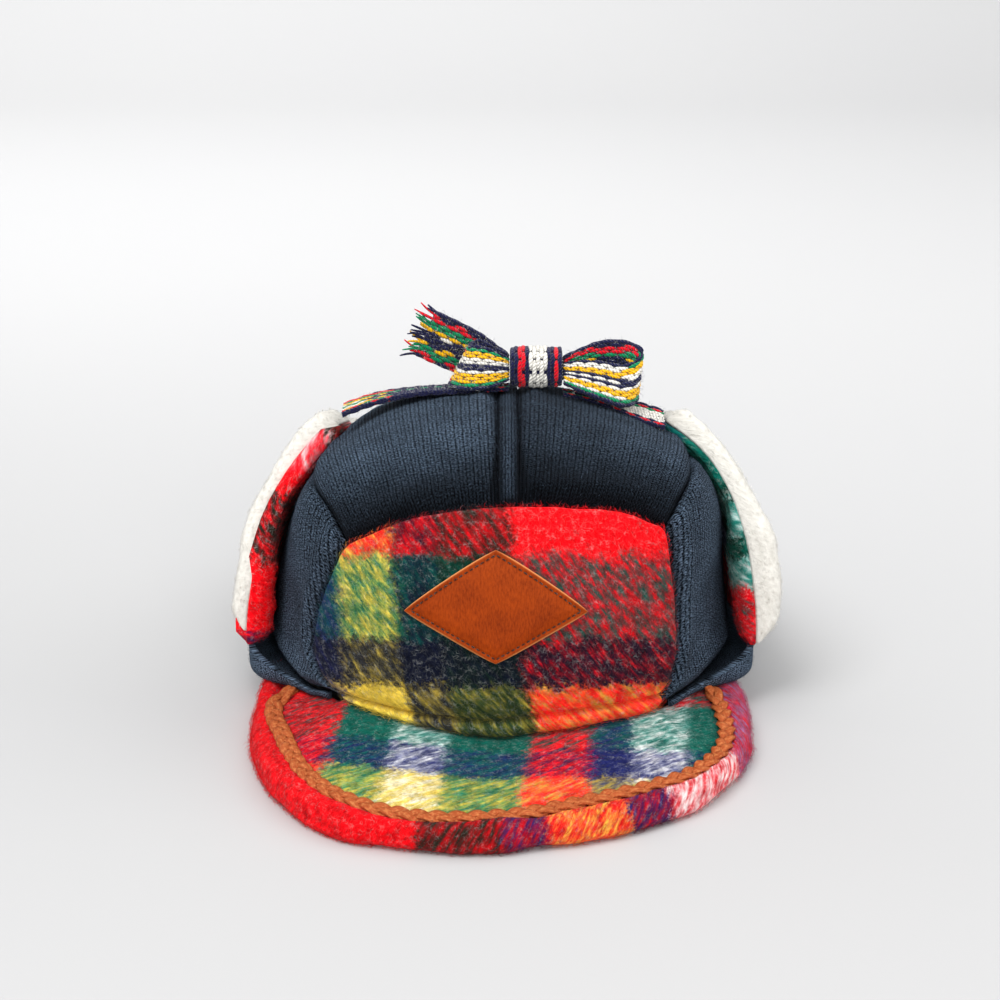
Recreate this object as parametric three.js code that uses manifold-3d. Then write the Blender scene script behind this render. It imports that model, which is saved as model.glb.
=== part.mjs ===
// A winter cap lying by itself: a plaid wool front, a ribbed knit crown, a padded peak, and
// fleece-faced flaps folded up round the crown and tied over its top with a woven tape.
// Millimetres, Z up. The cap faces -Y; "left" and "right" are as seen from in front of it.
import * as THREE from 'three';
import { mergeVertices } from 'three/addons/utils/BufferGeometryUtils.js';
import Module from 'manifold-3d';

const wasm = await Module();
wasm.setup();

const { degToRad, clamp, lerp, smoothstep } = THREE.MathUtils;

// ---- Driving dimensions ----

const SEAM_GAP = 0.5; // between neighbouring panels
const FACE_GAP = 0.35; // between pieces that lie on one another
const FOLD_GAP = 1; // between the crown's sides and the turn-up that they stand on

// The crown is a dome over a rounded plan. Its rim is higher at the front than at the back.
const CROWN = {
  halfWidth: 87,
  halfLength: 97,
  height: 101,
  planPower: 2.2,
  frontPower: 3.1,
  sidePower: 2.55,
  backPower: 2.1,
  rimFront: 12.5,
  rimBack: 5,
};

// Where the cloth stands fuller or flatter than the plain dome.
const FULLNESS = table(['azimuth', 'elevation', 'rise', 'spread'], [
  [0, 62, 5, 24],
  [52, 44, 10, 14],
  [-55, 43, 8, 13],
  [80, 42, 6, 16],
  [60, 18, -3, 14],
  [-60, 18, -3, 14],
]);

const KNIT_THICKNESS = 2.5;
const WOOL_THICKNESS = 2;
const FRONT = { thickness: 3.2, proud: 0.8, weltHeight: 7.5, weltRise: 1.8 };
const STRIP = { left: -1, right: 7, startAngle: 46.2, proud: 0.5 };

// Seams, as directions from the middle of the rim: azimuth from the front, and elevation.
const FRONT_TOP_SEAM = table(['azimuth', 'elevation'], [
  [-38.7, 36], [-22, 43], [1, 46], [28, 43.8], [42, 38],
]);
const FRONT_FOOT = table(['azimuth', 'elevation'], [
  [-34, 4.2], [-20, 2.5], [-8, 0.9], [0, 0.3], [10, 1.3], [22, 2], [36, 1.7],
]);
const SIDES = {
  left: {
    sign: -1,
    frontSeam: table(['azimuth', 'elevation'], [
      [34, 4.2], [43.5, 8], [48.5, 13], [47.5, 20], [43, 28.5], [38.7, 36],
    ]),
    crownSeam: table(['azimuth', 'elevation'], [
      [38.7, 36], [47, 41], [66, 45.5], [90, 48], [115, 46], [136, 38],
    ]),
    // gap: crown to wool; fleece: thickness of the pile
    flap: table(['elevation', 'gap', 'fleece'], [
      [3, 14, 4.5], [9, 16, 4.5], [17, 15.5, 5.8], [24, 12.5, 7],
      [32, 8.5, 8.2], [42, 4.5, 9.3], [60, 3, 9.3],
    ]),
  },
  right: {
    sign: 1,
    frontSeam: table(['azimuth', 'elevation'], [
      [36, 1.7], [41, 8], [43.5, 16], [43.5, 24], [42.8, 32], [42, 38],
    ]),
    crownSeam: table(['azimuth', 'elevation'], [
      [42, 38], [49.5, 42], [67, 46.5], [90, 48], [115, 46], [136, 38],
    ]),
    flap: table(['elevation', 'gap', 'fleece'], [
      [3, 15, 5], [9, 17, 8], [17, 17, 11], [26, 13.5, 11], [34, 8, 8], [42, 4, 8], [60, 3, 8.5],
    ]),
  },
};
// Behind its front edge a flap draws in to the crown. Round the back the two flaps come to the
// same shape, from 'from' to 'to' along their length.
const FLAP_BACK = {
  from: 0.4,
  to: 0.85,
  rows: table(['elevation', 'gap', 'fleece'], [
    [3, 12, 5], [9, 13, 7], [17, 10, 9], [30, 5, 9], [45, 3, 8.5], [60, 3, 8.5],
  ]),
};
const BACK_SEAM = table(['azimuth', 'elevation'], [[152, 0], [149, 19], [136, 38]]);

// The turn-up round the rim: height of its underside, share of its full reach, and top height.
const TURN_UP = table(['azimuth', 'underside', 'reach', 'top'], [
  [42, 11.7, 0.06, 14.6],
  [49, 11.5, 0.08, 14.6],
  [54, 11.3, 0.24, 15.6],
  [59, 11, 0.66, 19.4],
  [64, 10.6, 0.95, 23],
  [70, 9.9, 1, 24],
  [78, 8.6, 1, 24],
  [90, 5.2, 1, 24],
  [104, 1.3, 1, 24],
  [114, 0, 1, 24],
  [180, 0, 1, 24],
]);
const TURN_UP_LIFT_LEFT = 3; // how much higher the fold starts on the left
const TURN_UP_CORNER = 6.5; // outside radius of the fold
const FOLD_RUN_IN = 5; // degrees over which the crown's foot steps up onto the turn-up

const FLAP = {
  foot: 23.8,
  fleeceFoot: 20,
  fleeceClear: 1.3,
  edgeRound: 7,
  edgePile: 1.2,
  drawnIn: 0.24, // share of the front edge's gap that is left behind it
  drawnBy: 0.24, // share of the flap's length where that is reached
  leastGap: 1.2,
};
const FLAP_FRONT_EDGE = table(['azimuth', 'elevation'], [[66, 7.5], [67, 16], [70, 29], [76, 42], [90, 55]]);
const FLAP_TOP_EDGE = table(['azimuth', 'elevation'], [
  [90, 55], [106, 54.5], [126, 47], [150, 41], [180, 39],
]);

// The peak: a rounded outline about a point ahead of the crown's middle, and a padded section.
const PEAK = {
  centreY: -45,
  halfWidth: 94.5,
  depth: 119,
  power: 2.4,
  outlineSweep: 98,
  backNarrowing: 0.05,
  seatSweep: 75,
  tuck: 3,
  edgeRadius: 4.6,
};
// How much fuller the outline is than that plain curve, from one end (-1) to the other (1).
const PEAK_FULLNESS = table(['share', 'rise'], [
  [-1, 0], [-0.7, -0.8], [-0.45, 1.2], [-0.32, 2], [-0.18, 0], [0, -3],
  [0.15, -6.5], [0.28, -6], [0.43, -2.5], [0.6, 0], [1, 0],
]);
const BRAID = { width: 6.2, height: 3, from: -0.77, to: 0.76 };
// How far the braid lies in from the peak's edge, from one end (-1) to the other (1).
const BRAID_INSET = table(['share', 'inset'], [
  [-0.77, 13.2], [-0.68, 12.4], [-0.55, 14.8], [-0.42, 12.2], [-0.3, 10.3], [-0.15, 7.6], [0, 8.2],
  [0.2, 11.2], [0.3, 10.5], [0.42, 8.6], [0.52, 8.7], [0.6, 11.2], [0.7, 17.3], [0.77, 18],
]);
const PATCH = { halfWidth: 34.2, halfHeight: 20, thickness: 1.8, corner: 0.03, azimuth: -0.9, elevation: 27 };

// The woven tape. Each row is a section of the centre line, with the direction across the tape
// from its lower to its upper edge, and its width there.
const TAPE_THICKNESS = 1.6;
const KNOT = { x: 13.8, y: 2, z: 121.3, length: 20, depth: 15, height: 14.8, power: 2.6 };
const KNOT_LEFT = KNOT.x - KNOT.length / 2 - 0.5;
const KNOT_RIGHT = KNOT.x + KNOT.length / 2 + 0.5;
const TAPE_COLUMNS = ['x', 'y', 'z', 'acrossX', 'acrossY', 'acrossZ', 'width'];
const LOOP_LEFT = table(TAPE_COLUMNS, [
  [KNOT_LEFT, -2, 121.5, 0, 0.5, 0.86, 9],
  [-4, -5, 122.6, 0, 0.58, 0.81, 16],
  [-10.5, -5.6, 123, 0.2, 0.56, 0.8, 18.5],
  [-14.5, -2.5, 122.6, 0.4, 0.45, 0.8, 18],
  [-14.8, 2.2, 122.6, 0.45, 0.35, 0.82, 17.5],
  [-10, 5.2, 122.6, 0.25, 0.25, 0.93, 17.5],
  [-4, 5, 122.2, 0, 0.2, 0.98, 14],
  [KNOT_LEFT, 3.2, 121.5, 0, 0.1, 1, 9],
]);
const LOOP_RIGHT = table(TAPE_COLUMNS, [
  [KNOT_RIGHT, -2.5, 119.8, 0, 0.7, 0.71, 9],
  [31, -4.5, 119.2, 0, 0.8, 0.6, 15],
  [39, -4.5, 117.4, 0, 0.8, 0.6, 18.5],
  [46.5, -4, 115.4, 0.05, 0.76, 0.65, 19],
  [52, -0.5, 116, 0.12, 0.6, 0.79, 19],
  [53.4, 4.5, 118.2, 0.1, 0.35, 0.93, 19],
  [49, 8.4, 120.3, -0.1, 0.1, 1, 19],
  [41, 8.6, 121, -0.2, 0, 0.98, 18],
  [32, 6.6, 121, -0.1, 0, 1, 13],
  [KNOT_RIGHT, 3.6, 120.5, 0, 0.1, 1, 9],
]);
const TAIL_LEFT = table(TAPE_COLUMNS, [
  [KNOT_LEFT, 7.2, 120.5, 0, 0, 1, 9],
  [-3, 9.6, 121.2, 0.2, 0, 0.98, 14],
  [-11.5, 10.8, 124, 0.42, 0, 0.91, 18.5],
  [-21, 9.8, 128.8, 0.45, 0, 0.89, 19.5],
  [-28.5, 8.6, 132.8, 0.42, 0, 0.91, 19.5],
]);
const TAIL_RIGHT = table(TAPE_COLUMNS, [
  [KNOT_RIGHT + 0.4, 7.4, 119, 0, 0.2, 0.98, 9],
  [30, 13, 117, -0.3, 0.6, 0.74, 15],
  [36, 21, 113, -0.5, 0.7, 0.5, 19],
  [42, 30, 107.5, -0.6, 0.75, 0.25, 19.5],
  [47, 38, 101, -0.62, 0.76, 0.2, 19.5],
]);
const FRINGE = { locks: 8, length: 6, root: 1.2 };
// The ties lie over the crown: lift is the height of the cloth's middle above it.
const TIE_COLUMNS = ['x', 'y', 'lift', 'slope', 'width'];
const TIE_LEFT = table(TIE_COLUMNS, [
  [KNOT_LEFT, 1.5, 2.4, -0.16, 11],
  [-15, 2, 2.2, -0.17, 17],
  [-32, 2, 4.2, -0.17, 18.5],
  [-47, -1, 8, -0.1, 18],
  [-60, -5, 13, -0.04, 16],
]);
const TIE_RIGHT = table(TIE_COLUMNS, [
  [KNOT_RIGHT, 2.5, 1.9, -0.16, 11],
  [37, 4, 1.9, -0.12, 17],
  [48, 2, 3, 0.02, 18.5],
  [57, -1, 5, 0.1, 18],
  [63, -4, 7, 0.12, 16],
]);

// ---- Tables, curves and closed solids ----

function table(columns, rows) {
  return rows.map((row) => Object.fromEntries(columns.map((name, i) => [name, row[i]])));
}

// The value of one column where the key column has a given value, on a smooth curve.
function valueAt(rows, key, column, at) {
  const last = rows.length - 1;
  let i = 0;
  while (i < last - 1 && at > rows[i + 1][key]) i += 1;
  const slope = (j) => {
    const before = rows[Math.max(j - 1, 0)];
    const after = rows[Math.min(j + 1, last)];
    return (after[column] - before[column]) / (after[key] - before[key]);
  };
  const span = rows[i + 1][key] - rows[i][key];
  const t = clamp((at - rows[i][key]) / span, 0, 1);
  const rise = rows[i + 1][column] - rows[i][column];
  return rows[i][column] + t * (span * slope(i)
    + t * (3 * rise - span * (2 * slope(i) + slope(i + 1))
    + t * (span * (slope(i) + slope(i + 1)) - 2 * rise)));
}

function smoothCurve(points) {
  const curve = new THREE.CatmullRomCurve3(points, false, 'catmullrom', 0.5);
  return (t) => curve.getPoint(clamp(t, 0, 1));
}

function grid(rows, columns, point) {
  return Array.from({ length: rows + 1 }, (_, j) =>
    Array.from({ length: columns + 1 }, (_unused, i) => point(i / columns, j / rows)));
}

// A closed solid from its triangles, turned so that its faces point out.
function closedSolid(points, triangles) {
  let volume = 0;
  for (const [a, b, c] of triangles) {
    volume += points[a].dot(new THREE.Vector3().crossVectors(points[b], points[c]));
  }
  const faces = volume < 0 ? triangles.map(([a, b, c]) => [a, c, b]) : triangles;
  const geometry = new THREE.BufferGeometry();
  geometry.setAttribute('position', new THREE.Float32BufferAttribute(points.flatMap((p) => p.toArray()), 3));
  geometry.setIndex(faces.flat());
  geometry.computeVertexNormals();
  return geometry;
}

// A wall between two grids of points, closed round its four edges.
function wall(outer, inner) {
  const rows = outer.length;
  const columns = outer[0].length;
  const points = [...outer.flat(), ...inner.flat()];
  const at = (side, j, i) => side * rows * columns + j * columns + i;
  const triangles = [];
  const quad = (a, b, c, d) => {
    const shorter = points[a].distanceTo(points[c]) < points[b].distanceTo(points[d]);
    if (shorter) triangles.push([a, b, c], [a, c, d]);
    else triangles.push([a, b, d], [b, c, d]);
  };
  for (let j = 0; j < rows - 1; j += 1) {
    for (let i = 0; i < columns - 1; i += 1) {
      quad(at(0, j, i), at(0, j, i + 1), at(0, j + 1, i + 1), at(0, j + 1, i));
      quad(at(1, j, i), at(1, j + 1, i), at(1, j + 1, i + 1), at(1, j, i + 1));
    }
  }
  for (let i = 0; i < columns - 1; i += 1) {
    quad(at(0, 0, i), at(1, 0, i), at(1, 0, i + 1), at(0, 0, i + 1));
    quad(at(0, rows - 1, i + 1), at(1, rows - 1, i + 1), at(1, rows - 1, i), at(0, rows - 1, i));
  }
  for (let j = 0; j < rows - 1; j += 1) {
    quad(at(0, j + 1, 0), at(1, j + 1, 0), at(1, j, 0), at(0, j, 0));
    quad(at(0, j, columns - 1), at(1, j, columns - 1), at(1, j + 1, columns - 1), at(0, j + 1, columns - 1));
  }
  return closedSolid(points, triangles);
}

// A solid through a row of rings, closed by a fan at each end.
function loft(rings) {
  const sides = rings[0].length;
  const points = rings.flat();
  const triangles = [];
  for (let k = 0; k < rings.length - 1; k += 1) {
    for (let i = 0; i < sides; i += 1) {
      const a = k * sides + i;
      const b = k * sides + ((i + 1) % sides);
      triangles.push([a, b, b + sides], [a, b + sides, a + sides]);
    }
  }
  for (const [start, flip] of [[0, true], [(rings.length - 1) * sides, false]]) {
    const middle = points.length;
    const ring = points.slice(start, start + sides);
    points.push(ring.reduce((sum, p) => sum.add(p), new THREE.Vector3()).divideScalar(sides));
    for (let i = 0; i < sides; i += 1) {
      const a = start + i;
      const b = start + ((i + 1) % sides);
      triangles.push(flip ? [middle, b, a] : [middle, a, b]);
    }
  }
  return closedSolid(points, triangles);
}

function joined(geometries) {
  const solids = geometries.map((geometry) => {
    const bare = geometry.clone().deleteAttribute('normal');
    const merged = mergeVertices(bare);
    const mesh = new wasm.Mesh({
      numProp: 3,
      vertProperties: new Float32Array(merged.attributes.position.array),
      triVerts: new Uint32Array(merged.index.array),
    });
    return new wasm.Manifold(mesh);
  });
  const { vertProperties, triVerts } = solids.reduce((sum, solid) => sum.add(solid)).getMesh();
  const geometry = new THREE.BufferGeometry();
  geometry.setAttribute('position', new THREE.Float32BufferAttribute(vertProperties, 3));
  geometry.setIndex([...triVerts]);
  geometry.computeVertexNormals();
  return geometry;
}

// ---- The crown's surface ----

function heading(azimuth, elevation) {
  const a = degToRad(azimuth);
  const e = degToRad(elevation);
  return new THREE.Vector3(Math.sin(a) * Math.cos(e), -Math.cos(a) * Math.cos(e), Math.sin(e));
}

function rimHeight(y) {
  const back = (clamp(y, -CROWN.halfLength, CROWN.halfLength) + CROWN.halfLength) / (2 * CROWN.halfLength);
  return lerp(CROWN.rimFront, CROWN.rimBack, back);
}

const fullnessHeadings = FULLNESS.map((row) => heading(row.azimuth, row.elevation));

// Distance from the middle of the rim to the crown's outer face in one direction.
function crownRadius(direction) {
  const level = Math.hypot(direction.x, direction.y);
  const sideways = level > 1e-9 ? direction.x / level : 0;
  const ahead = level > 1e-9 ? -direction.y / level : 1;
  const plan = ((Math.abs(sideways) / CROWN.halfWidth) ** CROWN.planPower
    + (Math.abs(ahead) / CROWN.halfLength) ** CROWN.planPower) ** (-1 / CROWN.planPower);
  const power = CROWN.sidePower
    + (CROWN.frontPower - CROWN.sidePower) * clamp(ahead, 0, 1) ** 1.5
    + (CROWN.backPower - CROWN.sidePower) * clamp(-ahead, 0, 1) ** 1.5;
  const above = Math.max(direction.z, 0) / CROWN.height;
  const dome = ((level / plan) ** power + above ** power) ** (-1 / power);
  return FULLNESS.reduce((radius, row, i) => {
    const angle = direction.angleTo(fullnessHeadings[i]) / degToRad(row.spread);
    return radius + row.rise * Math.exp(-angle * angle);
  }, dome);
}

function crownPoint(direction, offset = 0) {
  const point = direction.clone().multiplyScalar(crownRadius(direction) + offset);
  point.z += rimHeight(point.y);
  return point;
}

// Height of the crown's outer face over a place in plan.
function crownHeight(x, y) {
  let low = 0;
  let high = 2 * CROWN.height;
  for (let step = 0; step < 30; step += 1) {
    const middle = (low + high) / 2;
    const arm = new THREE.Vector3(x, y, middle);
    if (arm.length() < crownRadius(arm.clone().normalize())) low = middle;
    else high = middle;
  }
  return low + rimHeight(y);
}

// The elevation at which a surface outside the crown's wall has a given height.
function elevationAt(azimuth, height, offset = 0) {
  let elevation = 0;
  for (let step = 0; step < 4; step += 1) {
    const point = crownPoint(heading(azimuth, elevation), offset);
    elevation += THREE.MathUtils.radToDeg((height - point.z) / Math.hypot(point.x, point.y));
  }
  return elevation;
}

// The direction over the top of the crown that keeps a distance x from the middle.
function overTop(x, angle) {
  const a = degToRad(angle);
  let direction = new THREE.Vector3(0, -Math.cos(a), Math.sin(a));
  for (let step = 0; step < 4; step += 1) {
    const radius = crownRadius(direction);
    const aside = x / Math.sqrt(radius * radius - x * x);
    direction = new THREE.Vector3(aside, -Math.cos(a), Math.sin(a)).normalize();
  }
  return direction;
}

function seam(rows, sign = 1) {
  const curve = smoothCurve(rows.map((row) => heading(sign * row.azimuth, row.elevation)));
  return (t) => curve(t).normalize();
}

// Directions over a four-sided patch between its edge curves.
function patchOf({ bottom, top, left, right }) {
  const corners = [left(0), right(0), left(1), right(1)];
  return (u, v) => new THREE.Vector3()
    .addScaledVector(bottom(u), 1 - v)
    .addScaledVector(top(u), v)
    .addScaledVector(left(v), 1 - u)
    .addScaledVector(right(v), u)
    .addScaledVector(corners[0], -(1 - u) * (1 - v))
    .addScaledVector(corners[1], -u * (1 - v))
    .addScaledVector(corners[2], -(1 - u) * v)
    .addScaledVector(corners[3], -u * v)
    .normalize();
}

// The same patch, drawn in from its edges by half a seam's gap.
function insetPatch(patch, gap = SEAM_GAP) {
  const span = (a, b) => crownPoint(a).distanceTo(crownPoint(b));
  return (u, v) => {
    const across = gap / 2 / Math.max(span(patch(0, v), patch(1, v)), 1);
    const along = gap / 2 / Math.max(span(patch(u, 0), patch(u, 1)), 1);
    return patch(lerp(across, 1 - across, u), lerp(along, 1 - along, v));
  };
}

function crownPanel(patch, columns, rows, thickness, offset = () => 0) {
  const at = insetPatch(patch);
  return wall(
    grid(rows, columns, (u, v) => crownPoint(at(u, v), offset(u, v))),
    grid(rows, columns, (u, v) => crownPoint(at(u, v), -thickness)),
  );
}

// ---- The crown's panels ----

const FOLD_START = TURN_UP[0].azimuth;

function frontFootAt(azimuth) {
  return heading(azimuth, valueAt(FRONT_FOOT, 'azimuth', 'elevation', azimuth));
}

// Height of the front panel's foot. Beyond its corners it stays as it is there.
function frontFoot(azimuth) {
  return crownPoint(frontFootAt(clamp(azimuth, FRONT_FOOT[0].azimuth, FRONT_FOOT.at(-1).azimuth))).z;
}

function foldLift(azimuth) {
  return azimuth < 0 ? TURN_UP_LIFT_LEFT * (1 - smoothstep(-azimuth, FOLD_START, FOLD_START + 9)) : 0;
}

function foldUnderside(azimuth) {
  const from = Math.max(Math.abs(azimuth), FOLD_START);
  return Math.max(valueAt(TURN_UP, 'azimuth', 'underside', from), 0) + foldLift(azimuth);
}

// Height of the lower edge of the crown's sides, just above the turn-up.
function sideFoot(azimuth) {
  const overFold = foldUnderside(azimuth) + KNIT_THICKNESS + FOLD_GAP;
  const onFold = smoothstep(Math.abs(azimuth), FOLD_START - FOLD_RUN_IN, FOLD_START);
  return lerp(frontFoot(azimuth), overFold, onFold);
}

function frontTopSeam(azimuth) {
  return heading(azimuth, valueAt(FRONT_TOP_SEAM, 'azimuth', 'elevation', azimuth));
}

function frontPanel() {
  const first = FRONT_TOP_SEAM[0].azimuth;
  const last = FRONT_TOP_SEAM.at(-1).azimuth;
  const patch = patchOf({
    bottom: (u) => frontFootAt(lerp(-SIDES.left.frontSeam[0].azimuth, SIDES.right.frontSeam[0].azimuth, u)),
    top: (u) => frontTopSeam(lerp(first, last, u)),
    left: seam(SIDES.left.frontSeam, -1),
    right: seam(SIDES.right.frontSeam),
  });
  const height = 92;
  // rows crowd together over the welt at the foot
  const weltRows = 5 / 13;
  const weltShare = (FRONT.weltHeight / height) * 1.2;
  const rowShare = (v) => {
    if (v < weltRows) return (v / weltRows) * weltShare;
    return lerp(weltShare, 1, (v - weltRows) / (1 - weltRows));
  };
  const welt = (v) => {
    const t = clamp((v * height) / FRONT.weltHeight, 0, 1);
    return FRONT.weltRise * Math.sin(Math.PI * t);
  };
  return crownPanel((u, v) => patch(u, rowShare(v)), 14, 13, FRONT.thickness - FRONT.proud,
    (u, v) => FRONT.proud + welt(rowShare(v)));
}

function topSeamStrip() {
  const end = 180;
  const patch = (u, v) => overTop(lerp(STRIP.left, STRIP.right, u), lerp(STRIP.startAngle, end, v));
  return crownPanel(patch, 2, 18, KNIT_THICKNESS, () => STRIP.proud);
}

// The long seam from the front panel's corner over the side to the back rim.
function sideToTopSeam(side) {
  const overSide = seam(side.crownSeam, side.sign);
  const downBack = seam(BACK_SEAM, side.sign);
  const share = 2 / 3;
  return (t) => (t < share ? overSide(t / share) : downBack(1 - (t - share) / (1 - share)));
}

function topPanel(side) {
  const edgeX = side.sign < 0 ? STRIP.left : STRIP.right;
  const inner = (v) => overTop(edgeX, lerp(STRIP.startAngle - 0.2, 180, v));
  const start = inner(0);
  const startAzimuth = THREE.MathUtils.radToDeg(Math.atan2(start.x, -start.y));
  const cornerAzimuth = side.sign * side.crownSeam[0].azimuth;
  const backAzimuth = side.sign * BACK_SEAM[0].azimuth;
  const finish = inner(1);
  const finishAzimuth = THREE.MathUtils.radToDeg(Math.atan2(finish.x, -finish.y));
  const patch = patchOf({
    left: inner,
    right: sideToTopSeam(side),
    bottom: (u) => frontTopSeam(lerp(startAzimuth, cornerAzimuth, u)),
    top: (u) => heading(lerp(finishAzimuth, backAzimuth, u), 0),
  });
  return crownPanel(patch, 6, 21, KNIT_THICKNESS);
}

function sidePanel(side) {
  const firstAzimuth = side.frontSeam[0].azimuth;
  const lastAzimuth = BACK_SEAM[0].azimuth;
  const foot = (u) => {
    const azimuth = side.sign * lerp(firstAzimuth, lastAzimuth, u);
    return heading(azimuth, elevationAt(azimuth, sideFoot(azimuth)));
  };
  const patch = patchOf({
    bottom: foot,
    top: seam(side.crownSeam, side.sign),
    left: seam(side.frontSeam, side.sign),
    right: seam(BACK_SEAM, side.sign),
  });
  return crownPanel(patch, 15, 9, KNIT_THICKNESS);
}

// ---- Turn-up and flaps ----

// A column of the flap's table, which passes from the side's own rows to the back's.
function flapValue(side, column, elevation, u) {
  const drawn = column === 'gap' ? lerp(1, FLAP.drawnIn, smoothstep(u, -0.06, FLAP.drawnBy)) : 1;
  const own = drawn * valueAt(side.flap, 'elevation', column, elevation);
  const back = valueAt(FLAP_BACK.rows, 'elevation', column, elevation);
  return lerp(own, back, smoothstep(u, FLAP_BACK.from, FLAP_BACK.to));
}

function footGap(side, azimuth) {
  const first = FLAP_FRONT_EDGE[0].azimuth;
  return flapValue(side, 'gap', 0, clamp((azimuth - first) / (180 - first), 0, 1));
}

// A floor under the crown's edge, a rounded fold, and an outer leg that carries the flap.
function turnUp(side) {
  const first = TURN_UP[0].azimuth;
  const end = 180 - (SEAM_GAP / 2 / CROWN.halfLength) * (180 / Math.PI);
  const section = (u) => {
    const azimuth = lerp(first, end, u);
    const direction = heading(side.sign * azimuth, 0);
    const foot = crownPoint(direction);
    const out = direction.clone().setZ(0).normalize();
    const underside = foldUnderside(side.sign * azimuth);
    const reach = (footGap(side, azimuth) + WOOL_THICKNESS) * valueAt(TURN_UP, 'azimuth', 'reach', azimuth);
    const top = valueAt(TURN_UP, 'azimuth', 'top', azimuth) + foldLift(side.sign * azimuth) - FACE_GAP;
    const radius = Math.min(TURN_UP_CORNER, reach + KNIT_THICKNESS - 0.5, top - underside - 0.3);
    const place = (distance, height) => foot.clone().setZ(height).addScaledVector(out, distance);
    return { underside, reach, top, radius, place };
  };
  const arcSteps = 4;
  const floorSteps = 2;
  const legSteps = 1;
  const path = (u, thickness) => {
    const { underside, reach, top, radius, place } = section(u);
    const turn = Math.max(radius - thickness, 0.05);
    const points = [];
    const floorStart = -KNIT_THICKNESS;
    const floorEnd = reach - radius;
    const legStart = underside + radius;
    for (let k = 0; k < floorSteps; k += 1) {
      points.push(place(lerp(floorStart, floorEnd, k / floorSteps), underside + thickness));
    }
    for (let k = 0; k <= arcSteps; k += 1) {
      const a = (Math.PI / 2) * (k / arcSteps);
      points.push(place(floorEnd + turn * Math.sin(a), legStart - turn * Math.cos(a)));
    }
    for (let k = 1; k <= legSteps; k += 1) {
      points.push(place(reach - thickness, lerp(legStart, top, k / legSteps)));
    }
    return points;
  };
  const steps = 22;
  const rows = (thickness) => Array.from({ length: steps + 1 }, (_, j) => path(j / steps, thickness));
  return wall(rows(0), rows(KNIT_THICKNESS));
}

function flapPatch(side, foot) {
  const footAt = (azimuth) => {
    const elevation = elevationAt(side.sign * azimuth, foot, footGap(side, azimuth));
    return heading(side.sign * azimuth, elevation);
  };
  const front = seam(FLAP_FRONT_EDGE, side.sign);
  const firstAzimuth = FLAP_FRONT_EDGE[0].azimuth;
  const backTop = FLAP_TOP_EDGE.at(-1).elevation;
  const backFoot = elevationAt(180, foot, footGap(side, 180));
  return patchOf({
    bottom: (u) => footAt(lerp(firstAzimuth, 180, u)),
    top: seam(FLAP_TOP_EDGE, side.sign),
    left: front,
    right: (v) => heading(180, lerp(backFoot, backTop, v)),
  });
}

// Distance from the crown to the wool's inner face: it stands off at the foot and at the front edge.
function flapGap(side, direction, u) {
  const elevation = THREE.MathUtils.radToDeg(Math.asin(direction.z));
  return Math.max(flapValue(side, 'gap', elevation, u), FLAP.leastGap);
}

function flapWool(side) {
  const at = insetPatch(flapPatch(side, FLAP.foot));
  const face = (offset) => grid(9, 16, (u, v) => {
    const direction = at(u, v);
    return crownPoint(direction, flapGap(side, direction, u) + offset);
  });
  return wall(face(WOOL_THICKNESS), face(0));
}

function flapFleece(side) {
  const at = insetPatch(flapPatch(side, FLAP.fleeceFoot));
  // the pile rounds over toward the free edges
  const heights = [0, 0.015, 0.05, 0.12, 0.25, 0.4, 0.55, 0.7, 0.85, 0.94, 0.985, 1];
  const lengths = [0, 0.012, 0.035, 0.08, 0.15, 0.23, 0.32, 0.41, 0.5, 0.59, 0.68, 0.76, 0.84, 0.92, 1];
  const rounded = (distance) => Math.sqrt(1 - (1 - clamp(distance / FLAP.edgeRound, 0, 1)) ** 2);
  const pile = (u, v) => {
    const direction = at(u, v);
    const here = crownPoint(direction);
    const edges = [at(0, v), at(u, 1), at(u, 0)];
    const edge = edges.reduce((product, d) => product * rounded(here.distanceTo(crownPoint(d))), 1);
    const elevation = THREE.MathUtils.radToDeg(Math.asin(direction.z));
    return lerp(FLAP.edgePile, flapValue(side, 'fleece', elevation, u), edge);
  };
  const face = (thickness) => heights.map((v) => lengths.map((u) => {
    const direction = at(u, v);
    const inner = flapGap(side, direction, u) + WOOL_THICKNESS + FLAP.fleeceClear;
    return crownPoint(direction, inner + thickness(u, v));
  }));
  return wall(face(pile), face(() => 0));
}

// ---- Peak, braid and patch ----

function peakOutline(s) {
  const a = degToRad(PEAK.outlineSweep * s);
  const radius = ((Math.abs(Math.sin(a)) / PEAK.halfWidth) ** PEAK.power
    + (Math.abs(Math.cos(a)) / PEAK.depth) ** PEAK.power) ** (-1 / PEAK.power);
  const full = radius + valueAt(PEAK_FULLNESS, 'share', 'rise', s);
  const narrowed = 1 - PEAK.backNarrowing * smoothstep(Math.abs(s), 0.65, 1);
  return new THREE.Vector3(narrowed * full * Math.sin(a), PEAK.centreY - full * Math.cos(a), 0);
}

// Where the peak's inner edge is tucked under the crown's foot, at its height there.
function peakSeat(s) {
  const azimuth = PEAK.seatSweep * s;
  const seat = crownPoint(heading(azimuth, 0), -PEAK.tuck);
  const underFold = foldUnderside(azimuth);
  const beforeFold = FOLD_START - 1.5;
  const onFold = smoothstep(Math.abs(azimuth), beforeFold - FOLD_RUN_IN, beforeFold);
  seat.z = lerp(frontFoot(azimuth), underFold, onFold) - FACE_GAP;
  return seat;
}

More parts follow.
